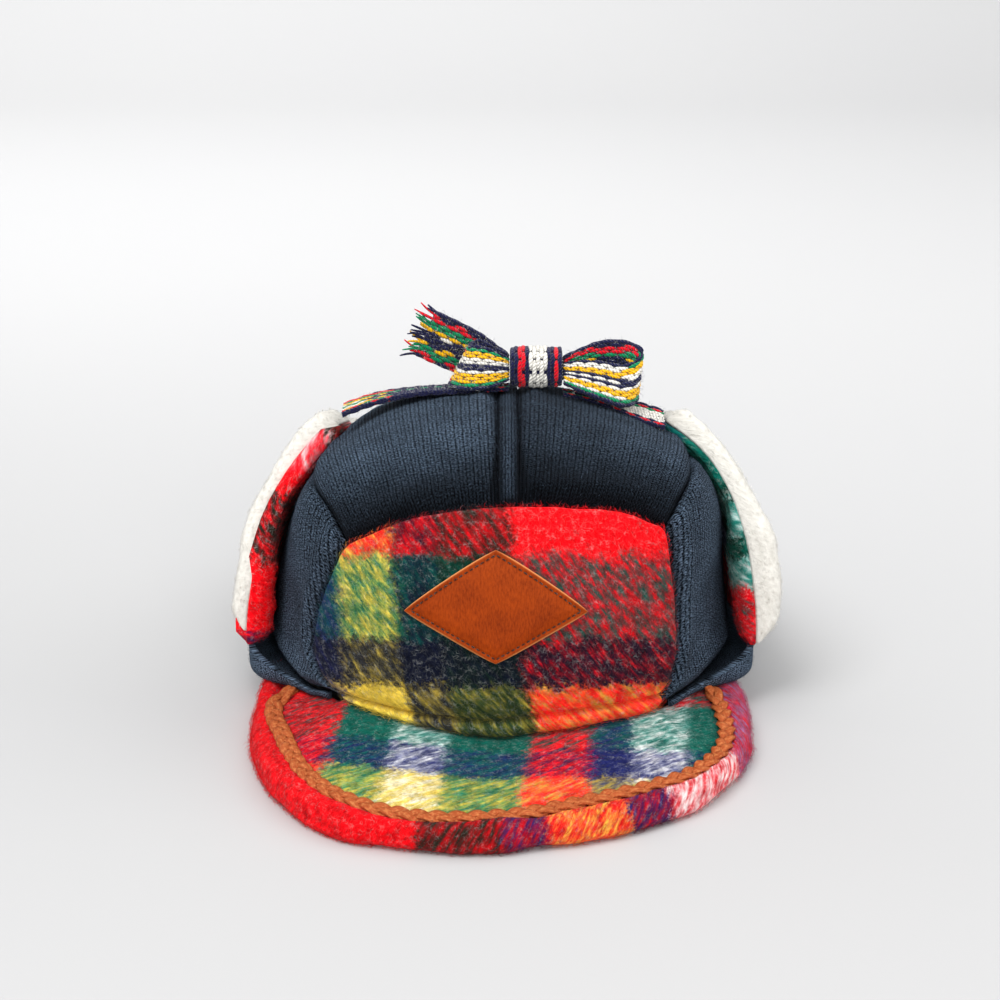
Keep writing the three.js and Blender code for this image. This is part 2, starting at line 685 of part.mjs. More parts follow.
// A point on the peak's upper or lower face, at a distance in from its edge.
function peakFace(s, distance, upper) {
  const outline = peakOutline(s);
  const seat = peakSeat(s);
  const depth = Math.hypot(seat.x - outline.x, seat.y - outline.y);
  const radius = PEAK.edgeRadius;
  const point = outline.clone().lerp(seat.clone().setZ(0), distance / depth);
  const round = Math.sqrt(radius ** 2 - (radius - Math.min(distance, radius)) ** 2);
  const rise = (seat.z - 2 * radius) * clamp((distance - radius) / (depth - radius), 0, 1);
  point.z = upper ? radius + round + rise : radius - round;
  return point;
}

function peak() {
  const edge = [0.02, 0.3, 1.1, 2.6, PEAK.edgeRadius];
  const rows = 28;
  const face = (upper) => Array.from({ length: rows + 1 }, (_, j) => {
    const s = lerp(-1, 1, j / rows);
    const depth = Math.hypot(peakSeat(s).x - peakOutline(s).x, peakSeat(s).y - peakOutline(s).y);
    const inner = [0.35, 0.68, 1].map((share) => lerp(PEAK.edgeRadius, depth, share));
    return [...edge, ...inner].map((distance) => peakFace(s, distance, upper));
  });
  return wall(face(true), face(false));
}

function peakBraid() {
  const steps = 36;
  const sides = 6;
  return loft(Array.from({ length: steps + 1 }, (_, k) => {
    const s = lerp(BRAID.from, BRAID.to, k / steps);
    const inset = valueAt(BRAID_INSET, 'share', 'inset', s);
    const middle = peakFace(s, inset, true);
    const inward = peakFace(s, inset + 1, true).sub(middle).normalize();
    return Array.from({ length: sides }, (_unused, i) => {
      const a = (2 * Math.PI * i) / sides + Math.PI / 2;
      const across = (BRAID.width / 2) * Math.cos(a);
      const up = (BRAID.height / 2) * (1 + Math.sin(a));
      const lift = up + FACE_GAP;
      return middle.clone().addScaledVector(inward, across).add(new THREE.Vector3(0, 0, lift));
    });
  }));
}

// A diamond that follows the front panel.
function patch() {
  const centre = heading(PATCH.azimuth, PATCH.elevation);
  const right = new THREE.Vector3(0, 0, 1).cross(centre).normalize();
  const up = centre.clone().cross(right).normalize();
  const radius = crownRadius(centre);
  const diamond = (u, v) => {
    // a square grid turned on its corner, with the corners drawn in
    const p = 2 * u - 1;
    const q = 2 * v - 1;
    const blunt = 1 - PATCH.corner * (Math.abs(p) * Math.abs(q)) ** 6;
    return { x: ((p - q) / 2) * PATCH.halfWidth * blunt, z: ((p + q) / 2) * PATCH.halfHeight * blunt };
  };
  const face = (offset) => grid(6, 6, (u, v) => {
    const { x, z } = diamond(u, v);
    const direction = centre.clone().addScaledVector(right, x / radius).addScaledVector(up, z / radius);
    return crownPoint(direction.normalize(), offset);
  });
  const back = FRONT.proud + FACE_GAP;
  return wall(face(back + PATCH.thickness), face(back));
}

// ---- Bow and ties ----

// A strip of tape through a row of sections.
function tape(rows, steps) {
  const centre = smoothCurve(rows.map((row) => new THREE.Vector3(row.x, row.y, row.z)));
  const across = smoothCurve(rows.map((row) => new THREE.Vector3(row.acrossX, row.acrossY, row.acrossZ)
    .normalize().multiplyScalar(row.width / 2)));
  const face = (offset) => Array.from({ length: steps + 1 }, (_, j) => {
    const t = j / steps;
    const run = centre(t + 0.01).sub(centre(t - 0.01));
    const normal = run.cross(across(t)).normalize().multiplyScalar(offset);
    return [-1, 0, 1].map((share) => centre(t).addScaledVector(across(t), share).add(normal));
  });
  const half = TAPE_THICKNESS / 2;
  return wall(face(half), face(-half));
}

function tieRows(rows) {
  return rows.map(({ x, y, lift, slope, width }) => ({
    x, y, z: crownHeight(x, y) + lift, acrossX: 0, acrossY: 1, acrossZ: slope, width,
  }));
}

// A free end: the tape, with locks of frayed yarn fused to its cut edge.
function frayedTail(rows) {
  const end = rows.at(-1);
  const before = rows.at(-2);
  const run = new THREE.Vector3(end.x - before.x, end.y - before.y, end.z - before.z).normalize();
  const across = new THREE.Vector3(end.acrossX, end.acrossY, end.acrossZ).normalize();
  const normal = run.clone().cross(across).normalize();
  const pitch = end.width / FRINGE.locks;
  const half = TAPE_THICKNESS / 2 - 0.1;
  const locks = Array.from({ length: FRINGE.locks }, (_, k) => {
    const middle = new THREE.Vector3(end.x, end.y, end.z)
      .addScaledVector(across, (k - (FRINGE.locks - 1) / 2) * pitch);
    const length = FRINGE.length * (0.75 + 0.25 * Math.sin(2.4 * k + 1));
    return loft([[-FRINGE.root, 0.42], [0.4 * length, 0.4], [length, 0.16]].map(([along, share]) => {
      const lean = normal.clone().multiplyScalar(0.05 * Math.max(along, 0) * Math.sin(1.7 * k));
      return [[1, 1], [-1, 1], [-1, -1], [1, -1]].map(([a, n]) => middle.clone()
        .addScaledVector(run, along)
        .addScaledVector(across, a * share * pitch)
        .addScaledVector(normal, n * half * (along > 0.5 * length ? 0.6 : 1))
        .add(lean));
    }));
  });
  return joined([tape(rows, 12), ...locks]);
}

function knot() {
  const sides = 20;
  const steps = [[-1, 0.86], [-0.9, 0.96], [-0.35, 1], [0.35, 1], [0.9, 0.96], [1, 0.86]];
  return loft(steps.map(([along, swell]) => Array.from({ length: sides }, (_, i) => {
    const a = (2 * Math.PI * i) / sides;
    const round = (value) => Math.sign(value) * Math.abs(value) ** (2 / KNOT.power);
    return new THREE.Vector3(
      KNOT.x + (along * KNOT.length) / 2,
      KNOT.y + (round(Math.cos(a)) * swell * KNOT.depth) / 2,
      KNOT.z + (round(Math.sin(a)) * swell * KNOT.height) / 2,
    );
  })));
}

// ---- The cap ----

const cap = new THREE.Group();

function add(name, geometry, colour, roughness) {
  const material = new THREE.MeshStandardMaterial({ color: colour, roughness, metalness: 0 });
  const mesh = new THREE.Mesh(geometry, material);
  mesh.name = name;
  cap.add(mesh);
}

const COLOUR = { plaid: 0xa8322e, knit: 0x2b3646, fleece: 0xf1eeea, leather: 0xa4561f, tape: 0x2a3157 };

add('front_panel', frontPanel(), COLOUR.plaid, 0.95);
add('top_seam_strip', topSeamStrip(), COLOUR.knit, 0.95);
for (const [name, side] of Object.entries(SIDES)) {
  add(`top_panel_${name}`, topPanel(side), COLOUR.knit, 0.95);
  add(`side_panel_${name}`, sidePanel(side), COLOUR.knit, 0.95);
  add(`turn_up_${name}`, turnUp(side), COLOUR.knit, 0.95);
  add(`flap_wool_${name}`, flapWool(side), COLOUR.plaid, 0.95);
  add(`flap_fleece_${name}`, flapFleece(side), COLOUR.fleece, 1);
}
add('peak', peak(), COLOUR.plaid, 0.95);
add('peak_braid', peakBraid(), COLOUR.leather, 0.6);
add('patch', patch(), COLOUR.leather, 0.6);
add('tie_left', tape(tieRows(TIE_LEFT), 14), COLOUR.tape, 0.9);
add('tie_right', tape(tieRows(TIE_RIGHT), 12), COLOUR.tape, 0.9);
add('bow_knot', knot(), COLOUR.tape, 0.9);
add('bow_loop_left', tape(LOOP_LEFT, 24), COLOUR.tape, 0.9);
add('bow_loop_right', tape(LOOP_RIGHT, 28), COLOUR.tape, 0.9);
add('bow_tail_left', frayedTail(TAIL_LEFT), COLOUR.tape, 0.9);
add('bow_tail_right', frayedTail(TAIL_RIGHT), COLOUR.tape, 0.9);

// the origin is the middle of the cap's footprint
const box = new THREE.Box3().setFromObject(cap);
const middle = box.getCenter(new THREE.Vector3());
cap.position.set(-middle.x, -middle.y, -box.min.z);

export default cap;
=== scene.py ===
"""A winter cap lying by itself: a brushed plaid wool front, a ribbed knit crown, a padded peak with
a plaited leather trim, and fleece-faced flaps folded up and tied over the top with a woven tape.
Lengths are in millimetres in the tables and in the shape functions, and in metres in Blender. Left and
right are as seen from the front, which faces -Y."""
import math

import bpy
import numpy as np
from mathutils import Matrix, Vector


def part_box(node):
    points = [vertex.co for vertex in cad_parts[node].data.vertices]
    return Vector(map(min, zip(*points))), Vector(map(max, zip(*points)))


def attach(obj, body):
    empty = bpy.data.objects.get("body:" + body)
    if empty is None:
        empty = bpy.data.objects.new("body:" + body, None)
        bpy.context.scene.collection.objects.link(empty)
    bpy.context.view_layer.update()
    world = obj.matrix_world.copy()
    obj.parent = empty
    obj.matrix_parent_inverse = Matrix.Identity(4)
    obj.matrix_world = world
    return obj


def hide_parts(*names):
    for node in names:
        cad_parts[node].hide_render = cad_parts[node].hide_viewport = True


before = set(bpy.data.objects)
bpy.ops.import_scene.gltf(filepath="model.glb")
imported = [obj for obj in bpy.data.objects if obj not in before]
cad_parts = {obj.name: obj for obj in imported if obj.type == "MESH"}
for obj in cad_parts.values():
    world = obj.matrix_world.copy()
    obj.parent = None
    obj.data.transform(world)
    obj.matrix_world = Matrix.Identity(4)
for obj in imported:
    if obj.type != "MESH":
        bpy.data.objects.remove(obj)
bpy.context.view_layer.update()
MM = 0.001
DEGREES = 57.3  # in a radian
BODY = "root"


# ---- Small tools ----

def table(names, rows):
    """A table of numbers, kept by the names of its columns."""
    return dict(zip(names.split(), np.array(rows, float).T))


def value_at(rows, column, at):
    """One column of a table where its first column has a given value, on a smooth curve."""
    x, y = next(iter(rows.values())), rows[column]
    before = np.maximum(np.arange(len(x)) - 1, 0)
    after = np.minimum(np.arange(len(x)) + 1, len(x) - 1)
    slope = (y[after] - y[before]) / (x[after] - x[before])
    at = np.asarray(at, float)
    i = np.clip(np.searchsorted(x, at) - 1, 0, len(x) - 2)
    span = x[i + 1] - x[i]
    t = np.clip((at - x[i]) / span, 0, 1)
    rise = y[i + 1] - y[i]
    start, finish = span * slope[i], span * slope[i + 1]
    return y[i] + t * (start + t * (3 * rise - 2 * start - finish + t * (start + finish - 2 * rise)))


def smooth_curve(points):
    """A curve through points, as a function of an array of shares from 0 to 1."""
    p = np.asarray(points, float)
    p = np.vstack([2 * p[0] - p[1], p, 2 * p[-1] - p[-2]])
    spans = len(p) - 3

    def at(t):
        s = np.clip(np.asarray(t, float), 0, 1) * spans
        i = np.minimum(np.floor(s).astype(int), spans - 1)
        w = (s - i)[..., None]
        a, b, c, d = p[i], p[i + 1], p[i + 2], p[i + 3]
        m, n = (c - a) / 2, (d - b) / 2
        return b + w * (m + w * (3 * (c - b) - 2 * m - n + w * (2 * (b - c) + m + n)))

    return at


def unit(v):
    return v / np.maximum(np.linalg.norm(v, axis=-1, keepdims=True), 1e-12)


def lerp(a, b, t):
    return a + (b - a) * t


def smoothstep(x, low, high):
    t = np.clip((x - low) / (high - low), 0, 1)
    return t * t * (3 - 2 * t)


def noise(points, size, seed):
    """Smooth noise from -1 to 1 whose features have a given size."""
    p = np.asarray(points, float) / size
    cell = np.floor(p).astype(np.int64)
    f = p - cell
    f = f * f * (3 - 2 * f)
    heights = np.random.default_rng(seed).uniform(-1, 1, 8192)
    total = np.zeros(p.shape[:-1])
    for corner in np.ndindex(2, 2, 2):
        c = cell + np.array(corner)
        key = (c[..., 0] * 73856093) ^ (c[..., 1] * 19349663) ^ (c[..., 2] * 83492791)
        weight = np.prod(np.where(np.array(corner), f, 1 - f), axis=-1)
        total += heights[key & 8191] * weight
    return total


def length_along(points, axis=0):
    """How far each point lies from the start of its line."""
    length = np.zeros(points.shape[:-1])
    steps = np.linalg.norm(np.diff(points, axis=axis), axis=-1)
    np.moveaxis(length, axis, 0)[1:] = np.moveaxis(np.cumsum(steps, axis=axis), axis, 0)
    return length


def spans(points):
    """Length from the first edge of a grid along its rows, and along its columns."""
    return length_along(points, 1), length_along(points)


def cell_areas(points):
    along, across = points[1:, :-1] - points[:-1, :-1], points[:-1, 1:] - points[:-1, :-1]
    return np.linalg.norm(np.cross(along, across), axis=-1)


def least(*distances):
    return np.minimum.reduce(np.broadcast_arrays(*distances))


def ridge(x, middle, width):
    """A smooth ridge, 1 high along its middle."""
    return np.exp(-((x - middle) / width) ** 2)


def rounding(distance, radius):
    """A quarter round: 0 at an edge and 1 from a radius inward."""
    return np.sqrt(1 - (1 - np.clip(distance / radius, 0, 1)) ** 2)


def normals_of(points, outward):
    """Normals of a grid, on the side of the outward directions."""
    n = unit(np.cross(np.gradient(points, axis=1), np.gradient(points, axis=0)))
    flip = np.sum(n * outward) < 0
    return -n if flip else n


# ---- Driving dimensions, as on the solids ----

KNOT = {"x": 13.8, "y": 2.0, "z": 121.3, "length": 20.0, "depth": 15.0, "height": 14.8, "power": 2.6}
knot_low, knot_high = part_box("bow_knot")
ORIGIN = (np.array(knot_low) + np.array(knot_high)) / 2 - MM * np.array([KNOT["x"], KNOT["y"], KNOT["z"]])

HALF_WIDTH, HALF_LENGTH, HEIGHT = 87, 97, 101
PLAN_POWER, FRONT_POWER, SIDE_POWER, BACK_POWER = 2.2, 3.1, 2.55, 2.1
RIM_FRONT, RIM_BACK = 12.5, 5
FULLNESS = table("azimuth elevation rise spread", [
    (0, 62, 5, 24), (52, 44, 10, 14), (-55, 43, 8, 13), (80, 42, 6, 16), (60, 18, -3, 14), (-60, 18, -3, 14),
])
SEAM_GAP, FLAP_SEAM_GAP = 0.3, 0.5
FACE_GAP = 0.35
FOLD_GAP = 1
KNIT_THICKNESS = 2.5
WOOL_THICKNESS = 2
RIB_PITCH, STITCH_PITCH = 1.13, 0.95
FRONT_THICKNESS, FRONT_PROUD = 2.4, 0.8
STRIP_LEFT, STRIP_RIGHT, STRIP_START, STRIP_PROUD = -1, 7, 46.2, 0.5
STRIP_MIDDLE = (STRIP_LEFT + STRIP_RIGHT) / 2
FRONT_TOP_SEAM = table("azimuth elevation", [(-38.7, 36), (-22, 43), (1, 46), (28, 43.8), (42, 38)])
FRONT_FOOT = table("azimuth elevation", [
    (-34, 4.2), (-20, 2.5), (-8, 0.9), (0, 0.3), (10, 1.3), (22, 2), (36, 1.7)])
SIDES = {
    "left": {
        "sign": -1,
        "front_seam": table("azimuth elevation", [
            (34, 4.2), (43.5, 8), (48.5, 13), (47.5, 20), (43, 28.5), (38.7, 36)]),
        "crown_seam": table("azimuth elevation", [
            (38.7, 36), (47, 41), (66, 45.5), (90, 48), (115, 46), (136, 38)]),
        "flap": table("elevation gap fleece", [
            (3, 14, 4.5), (9, 16, 4.5), (17, 15.5, 5.8), (24, 12.5, 7), (32, 8.5, 8.2), (42, 4.5, 9.3),
            (60, 3, 9.3)]),
    },
    "right": {
        "sign": 1,
        "front_seam": table("azimuth elevation", [
            (36, 1.7), (41, 8), (43.5, 16), (43.5, 24), (42.8, 32), (42, 38)]),
        "crown_seam": table("azimuth elevation", [
            (42, 38), (49.5, 42), (67, 46.5), (90, 48), (115, 46), (136, 38)]),
        "flap": table("elevation gap fleece", [
            (3, 15, 5), (9, 17, 8), (17, 17, 11), (26, 13.5, 11), (34, 8, 8), (42, 4, 8), (60, 3, 8.5)]),
    },
}
FLAP_BACK_FROM, FLAP_BACK_TO = 0.4, 0.85
FLAP_BACK = table("elevation gap fleece", [
    (3, 12, 5), (9, 13, 7), (17, 10, 9), (30, 5, 9), (45, 3, 8.5), (60, 3, 8.5)])
BACK_SEAM = table("azimuth elevation", [(152, 0), (149, 19), (136, 38)])
TURN_UP = table("azimuth underside reach top", [
    (42, 11.7, 0.06, 14.6), (49, 11.5, 0.08, 14.6), (54, 11.3, 0.24, 15.6), (59, 11, 0.66, 19.4),
    (64, 10.6, 0.95, 23), (70, 9.9, 1, 24), (78, 8.6, 1, 24), (90, 5.2, 1, 24), (104, 1.3, 1, 24),
    (114, 0, 1, 24), (180, 0, 1, 24),
])
TURN_UP_CORNER, FOLD_RUN_IN, FOLD_START = 6.5, 5, 42
TURN_UP_LIFT_LEFT, TURN_UP_LIFT_RUN = 3, 9
# Painted shade on each knit panel: how much darker it is painted by the crown's middle, far from it,
# and, added to that, along its foot. A value below 0 paints it lighter: painted light.
PANEL_PAINTED_SHADE = {
    "top_panel_left": (0, 0, 0.85), "top_panel_right": (0.52, 0, 0.85), "top_seam_strip": (0.3, 0.3, 0.3),
    "side_panel_left": (0.12, 0.12, -0.5), "side_panel_right": (0, 0, 0),
}
# The turn-ups are painted lighter all over, being below 0: painted light.
TURN_UP_PAINTED_SHADE = -0.7
FLAP_FOOT, FLEECE_FOOT = 23.8, 20
FLAP_BEAD = {"left": (5, 7), "right": (3.4, 5)}
FLEECE_SET_BACK = {"left": 0.035, "right": 0}
FLEECE_CORNER_RISE = {"left": 0.15, "right": 0.07}
FLEECE_EDGE_ROUND, FLEECE_EDGE_PILE = 7, 1.2
FLEECE_BACK_VALLEY = (6, 0.28)  # how wide, and what share of the pile it takes
FLAP_DRAWN_IN, FLAP_DRAWN_BY, FLAP_LEAST_GAP = 0.24, 0.24, 1.2
FLAP_FRONT_EDGE = table("azimuth elevation", [(66, 7.5), (67, 16), (70, 29), (76, 42), (90, 55)])
FLAP_TOP_EDGE = table("azimuth elevation", [(90, 55), (106, 54.5), (126, 47), (150, 41), (180, 39)])

PEAK_CENTRE_Y, PEAK_HALF_WIDTH, PEAK_DEPTH, PEAK_POWER = -45, 94.5, 119, 2.4
PEAK_SWEEP, PEAK_SEAT_SWEEP, PEAK_TUCK, PEAK_EDGE = 98, 75, 3, 4.6
PEAK_BACK_NARROWING = 0.05
PEAK_FULLNESS = table("share rise", [
    (-1, 0), (-0.7, -0.8), (-0.45, 1.2), (-0.32, 2), (-0.18, 0), (0, -3), (0.15, -6.5), (0.28, -6),
    (0.43, -2.5), (0.6, 0), (1, 0)])
BRAID_FROM, BRAID_TO, BRAID_PERIOD = -0.77, 0.76, 20.4
BRAID_INSET = table("share inset", [
    (-0.77, 13.2), (-0.68, 12.4), (-0.55, 14.8), (-0.42, 12.2), (-0.3, 10.3), (-0.15, 7.6), (0, 8.2),
    (0.2, 11.2), (0.3, 10.5), (0.42, 8.6), (0.52, 8.7), (0.6, 11.2), (0.7, 17.3), (0.77, 18)])
PATCH = {"half_width": 34.2, "half_height": 20, "thickness": 1.8, "corner": 0.03,
         "azimuth": -0.9, "elevation": 27}
STITCH_INSET, STITCHES_A_SIDE = 1.9, 17

# The woven tape: a section of its centre line, the direction across it, and its width there.
KNOT_LEFT = KNOT["x"] - KNOT["length"] / 2 - 0.5
KNOT_RIGHT = KNOT["x"] + KNOT["length"] / 2 + 0.5
LOOP_LEFT = [
    (KNOT_LEFT, -2, 121.5, 0, 0.5, 0.86, 9), (-4, -5, 122.6, 0, 0.58, 0.81, 16),
    (-10.5, -5.6, 123, 0.2, 0.56, 0.8, 18.5), (-14.5, -2.5, 122.6, 0.4, 0.45, 0.8, 18),
    (-14.8, 2.2, 122.6, 0.45, 0.35, 0.82, 17.5), (-10, 5.2, 122.6, 0.25, 0.25, 0.93, 17.5),
    (-4, 5, 122.2, 0, 0.2, 0.98, 14), (KNOT_LEFT, 3.2, 121.5, 0, 0.1, 1, 9),
]
LOOP_RIGHT = [
    (KNOT_RIGHT, -2.5, 119.8, 0, 0.7, 0.71, 9), (31, -4.5, 119.2, 0, 0.8, 0.6, 15),
    (39, -4.5, 117.4, 0, 0.8, 0.6, 18.5), (46.5, -4, 115.4, 0.05, 0.76, 0.65, 19),
    (52, -0.5, 116, 0.12, 0.6, 0.79, 19), (53.4, 4.5, 118.2, 0.1, 0.35, 0.93, 19),
    (49, 8.4, 120.3, -0.1, 0.1, 1, 19), (41, 8.6, 121, -0.2, 0, 0.98, 18),
    (32, 6.6, 121, -0.1, 0, 1, 13), (KNOT_RIGHT, 3.6, 120.5, 0, 0.1, 1, 9),
]
TAIL_LEFT = [
    (KNOT_LEFT, 7.2, 120.5, 0, 0, 1, 9), (-3, 9.6, 121.2, 0.2, 0, 0.98, 14),
    (-11.5, 10.8, 124, 0.42, 0, 0.91, 18.5), (-21, 9.8, 128.8, 0.45, 0, 0.89, 19.5),
    (-28.5, 8.6, 132.8, 0.42, 0, 0.91, 19.5),
]
TAIL_RIGHT = [
    (KNOT_RIGHT + 0.4, 7.4, 119, 0, 0.2, 0.98, 9), (30, 13, 117, -0.3, 0.6, 0.74, 15),
    (36, 21, 113, -0.5, 0.7, 0.5, 19), (42, 30, 107.5, -0.6, 0.75, 0.25, 19.5),
    (47, 38, 101, -0.62, 0.76, 0.2, 19.5),
]
# The ties lie over the crown: x, y, lift above it, slope across, and width.
TIE_LEFT = [
    (KNOT_LEFT, 1.5, 2.4, -0.16, 11), (-15, 2, 2.2, -0.17, 17), (-32, 2, 4.2, -0.17, 18.5),
    (-47, -1, 8, -0.1, 18), (-60, -5, 13, -0.04, 16),
]
TIE_RIGHT = [
    (KNOT_RIGHT, 2.5, 1.9, -0.16, 11), (37, 4, 1.9, -0.12, 17), (48, 2, 3, 0.02, 18.5),
    (57, -1, 5, 0.1, 18), (63, -4, 7, 0.12, 16),
]
FRINGE_LENGTH = 6


# ---- The crown's surface ----

def heading(azimuth, elevation):
    a, e = np.radians(azimuth), np.radians(elevation)
    a, e = np.broadcast_arrays(a, e)
    return np.stack([np.sin(a) * np.cos(e), -np.cos(a) * np.cos(e), np.sin(e)], axis=-1)


def rim_height(y):
    back = (np.clip(y, -HALF_LENGTH, HALF_LENGTH) + HALF_LENGTH) / (2 * HALF_LENGTH)
    return lerp(RIM_FRONT, RIM_BACK, back)


FULL_HEADINGS = heading(FULLNESS["azimuth"], FULLNESS["elevation"])


def crown_radius(direction):
    """Distance from the middle of the rim to the crown's outer face in each direction."""
    level = np.maximum(np.hypot(direction[..., 0], direction[..., 1]), 1e-9)
    sideways, ahead = direction[..., 0] / level, -direction[..., 1] / level
    plan = ((np.abs(sideways) / HALF_WIDTH) ** PLAN_POWER
            + (np.abs(ahead) / HALF_LENGTH) ** PLAN_POWER) ** (-1 / PLAN_POWER)
    power = (SIDE_POWER + (FRONT_POWER - SIDE_POWER) * np.clip(ahead, 0, 1) ** 1.5
             + (BACK_POWER - SIDE_POWER) * np.clip(-ahead, 0, 1) ** 1.5)
    up = np.maximum(direction[..., 2], 0) / HEIGHT
    radius = ((level / plan) ** power + up ** power) ** (-1 / power)
    for full, rise, spread in zip(FULL_HEADINGS, FULLNESS["rise"], FULLNESS["spread"]):
        angle = np.arccos(np.clip(direction @ full, -1, 1)) / np.radians(spread)
        radius = radius + rise * np.exp(-angle * angle)
    return radius


def crown_point(direction, offset=0.0):
    point = direction * (crown_radius(direction) + offset)[..., None]
    point[..., 2] += rim_height(point[..., 1])
    return point


def crown_height(x, y):
    x, y = np.broadcast_arrays(np.asarray(x, float), np.asarray(y, float))
    low, high = np.zeros(x.shape), np.full(x.shape, 2.0 * HEIGHT)
    for _ in range(30):
        middle = (low + high) / 2
        arm = np.stack([x, y, middle], axis=-1)
        inside = np.linalg.norm(arm, axis=-1) < crown_radius(unit(arm))
        low, high = np.where(inside, middle, low), np.where(inside, high, middle)
    return low + rim_height(y)


def elevation_at(azimuth, height, offset=0.0):
    """The elevation at which a surface outside the crown's wall has a given height."""
    azimuth = np.asarray(azimuth, float)
    elevation = np.zeros(azimuth.shape)
    for _ in range(4):
        point = crown_point(heading(azimuth, elevation), offset)
        elevation = elevation + np.degrees((height - point[..., 2]) / np.hypot(point[..., 0], point[..., 1]))
    return elevation


def over_top(x, angle):
    """The direction over the top of the crown that keeps a distance x from the middle."""
    x, angle = np.broadcast_arrays(np.asarray(x, float), np.asarray(angle, float))
    ahead, up = -np.cos(np.radians(angle)), np.sin(np.radians(angle))
    direction = np.stack([np.zeros(x.shape), ahead, up], axis=-1)
    for _ in range(4):
        radius = crown_radius(direction)
        direction = unit(np.stack([x / np.sqrt(radius * radius - x * x), ahead, up], axis=-1))
    return direction


def seam(rows, sign=1):
    curve = smooth_curve(heading(sign * rows["azimuth"], rows["elevation"]))
    return lambda t: unit(curve(t))


def patch_of(bottom, top, left, right):
    """Directions over a four-sided patch between its edge curves."""
    ends = np.array([0.0, 1.0])
    corners = np.concatenate([left(ends), right(ends)])

    def at(u, v):
        a, b = np.asarray(u, float)[..., None], np.asarray(v, float)[..., None]
        mixed = (bottom(u) * (1 - b) + top(u) * b + left(v) * (1 - a) + right(v) * a
                 - corners[0] * (1 - a) * (1 - b) - corners[2] * a * (1 - b)
                 - corners[1] * (1 - a) * b - corners[3] * a * b)
        return unit(mixed)

    return at


def inset_patch(patch, gap=SEAM_GAP):
    """The same patch, drawn in from its edges by half a seam's gap."""
    def at(u, v):
        zero, one = np.zeros(np.shape(u)), np.ones(np.shape(u))
        width = np.linalg.norm(crown_point(patch(zero, v)) - crown_point(patch(one, v)), axis=-1)
        length = np.linalg.norm(crown_point(patch(u, zero)) - crown_point(patch(u, one)), axis=-1)
        across, along = gap / 2 / np.maximum(width, 1), gap / 2 / np.maximum(length, 1)
        return patch(lerp(across, 1 - across, u), lerp(along, 1 - along, v))
    return at


def shares(columns, rows):
    return np.array(np.meshgrid(np.linspace(0, 1, columns + 1), np.linspace(0, 1, rows + 1)))


def crowded(share, how_much):
    """Shares drawn towards both ends, where an edge needs more points."""
    return lerp(share, 0.5 - 0.5 * np.cos(np.pi * share), how_much)


# ---- Meshes ----

def corners_of(faces):
    """The points at the corners of sets of faces, in order."""
    return np.concatenate([f.ravel() for f in faces])


def build(name, points, faces, materials, cloth, material_index=None, shade=None):
    """A Blender object from points in millimetres and sets of faces. cloth is a place on the cloth for
    each point or for each corner, and shade a value of painted shade for each point."""
    corners = corners_of(faces)
    sizes = np.concatenate([np.full(len(f), f.shape[1]) for f in faces])
    mesh = bpy.data.meshes.new(name)
    mesh.vertices.add(len(points))
    mesh.vertices.foreach_set("co", (points * MM + ORIGIN).astype(np.float32).ravel())
    mesh.loops.add(len(corners))
    mesh.loops.foreach_set("vertex_index", corners.astype(np.int32))
    mesh.polygons.add(len(sizes))
    mesh.polygons.foreach_set("loop_start", np.concatenate([[0], np.cumsum(sizes)[:-1]]).astype(np.int32))
    mesh.polygons.foreach_set("use_smooth", np.ones(len(sizes), bool))
    for material in materials:
        mesh.materials.append(material)
    if material_index is not None:
        mesh.polygons.foreach_set("material_index", material_index.astype(np.int32))
    places = cloth if len(cloth) == len(corners) else cloth[corners]
    mesh.uv_layers.new(name="cloth").uv.foreach_set("vector", places.astype(np.float32).ravel())
    if shade is not None:
        values = mesh.attributes.new("painted_shade", "FLOAT", "POINT").data
        values.foreach_set("value", shade.astype(np.float32))
    mesh.update(calc_edges=True)
    piece = bpy.data.objects.new(name, mesh)
    bpy.context.scene.collection.objects.link(piece)
    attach(piece, BODY)
    return piece


def flipped_out(points, faces):
    """The faces turned so that a closed mesh has a positive volume."""
    volume = 0
    for f in faces:
        for k in range(1, f.shape[1] - 1):
            a, b, c = points[f[:, 0]], points[f[:, k]], points[f[:, k + 1]]
            volume += np.sum(a * np.cross(b, c))
    return [f[:, ::-1] for f in faces] if volume < 0 else faces


def grid_quads(rows, columns, start=0):
    at = start + np.arange(rows * columns).reshape(rows, columns)
    return np.stack([at[:-1, :-1], at[:-1, 1:], at[1:, 1:], at[1:, :-1]], axis=-1).reshape(-1, 4)


def rim_of(rows, columns, start=0):
    at = start + np.arange(rows * columns).reshape(rows, columns)
    return np.concatenate([at[0, :-1], at[:-1, -1], at[-1, :0:-1], at[:0:-1, 0]])


def on_both_faces(outer, step, inner=None):
    """Values for all of a shell's points: those of its outer face, then one row in so many of the inner
    face's, which are the same ones if none are given."""
    coarse = (outer if inner is None else inner)[::step, ::step]
    each = outer.shape[2:]
    return np.concatenate([outer.reshape(-1, *each), coarse.reshape(-1, *each)])


def shell(outer, inner, step):
    """A closed wall: a fine outer grid, an inner grid with one row in so many, and their rims joined."""
    coarse = inner[::step, ::step]
    count = outer.shape[0] * outer.shape[1]
    points = on_both_faces(outer, step, inner)
    out_rim = rim_of(*outer.shape[:2])
    in_rim = rim_of(*coarse.shape[:2], start=count)
    edge = np.arange(len(out_rim))
    near = ((edge + step // 2) // step) % len(in_rim)
    follow = np.roll(out_rim, -1)
    strip = np.stack([follow, out_rim, in_rim[near]], axis=-1)
    turn = near != np.roll(near, 1)
    wedge = np.stack([out_rim[turn], in_rim[np.roll(near, 1)[turn]], in_rim[near[turn]]], axis=-1)
    faces = [grid_quads(*outer.shape[:2]), grid_quads(*coarse.shape[:2], start=count)[:, ::-1],
             np.concatenate([strip, wedge])]
    return points, flipped_out(points, faces)


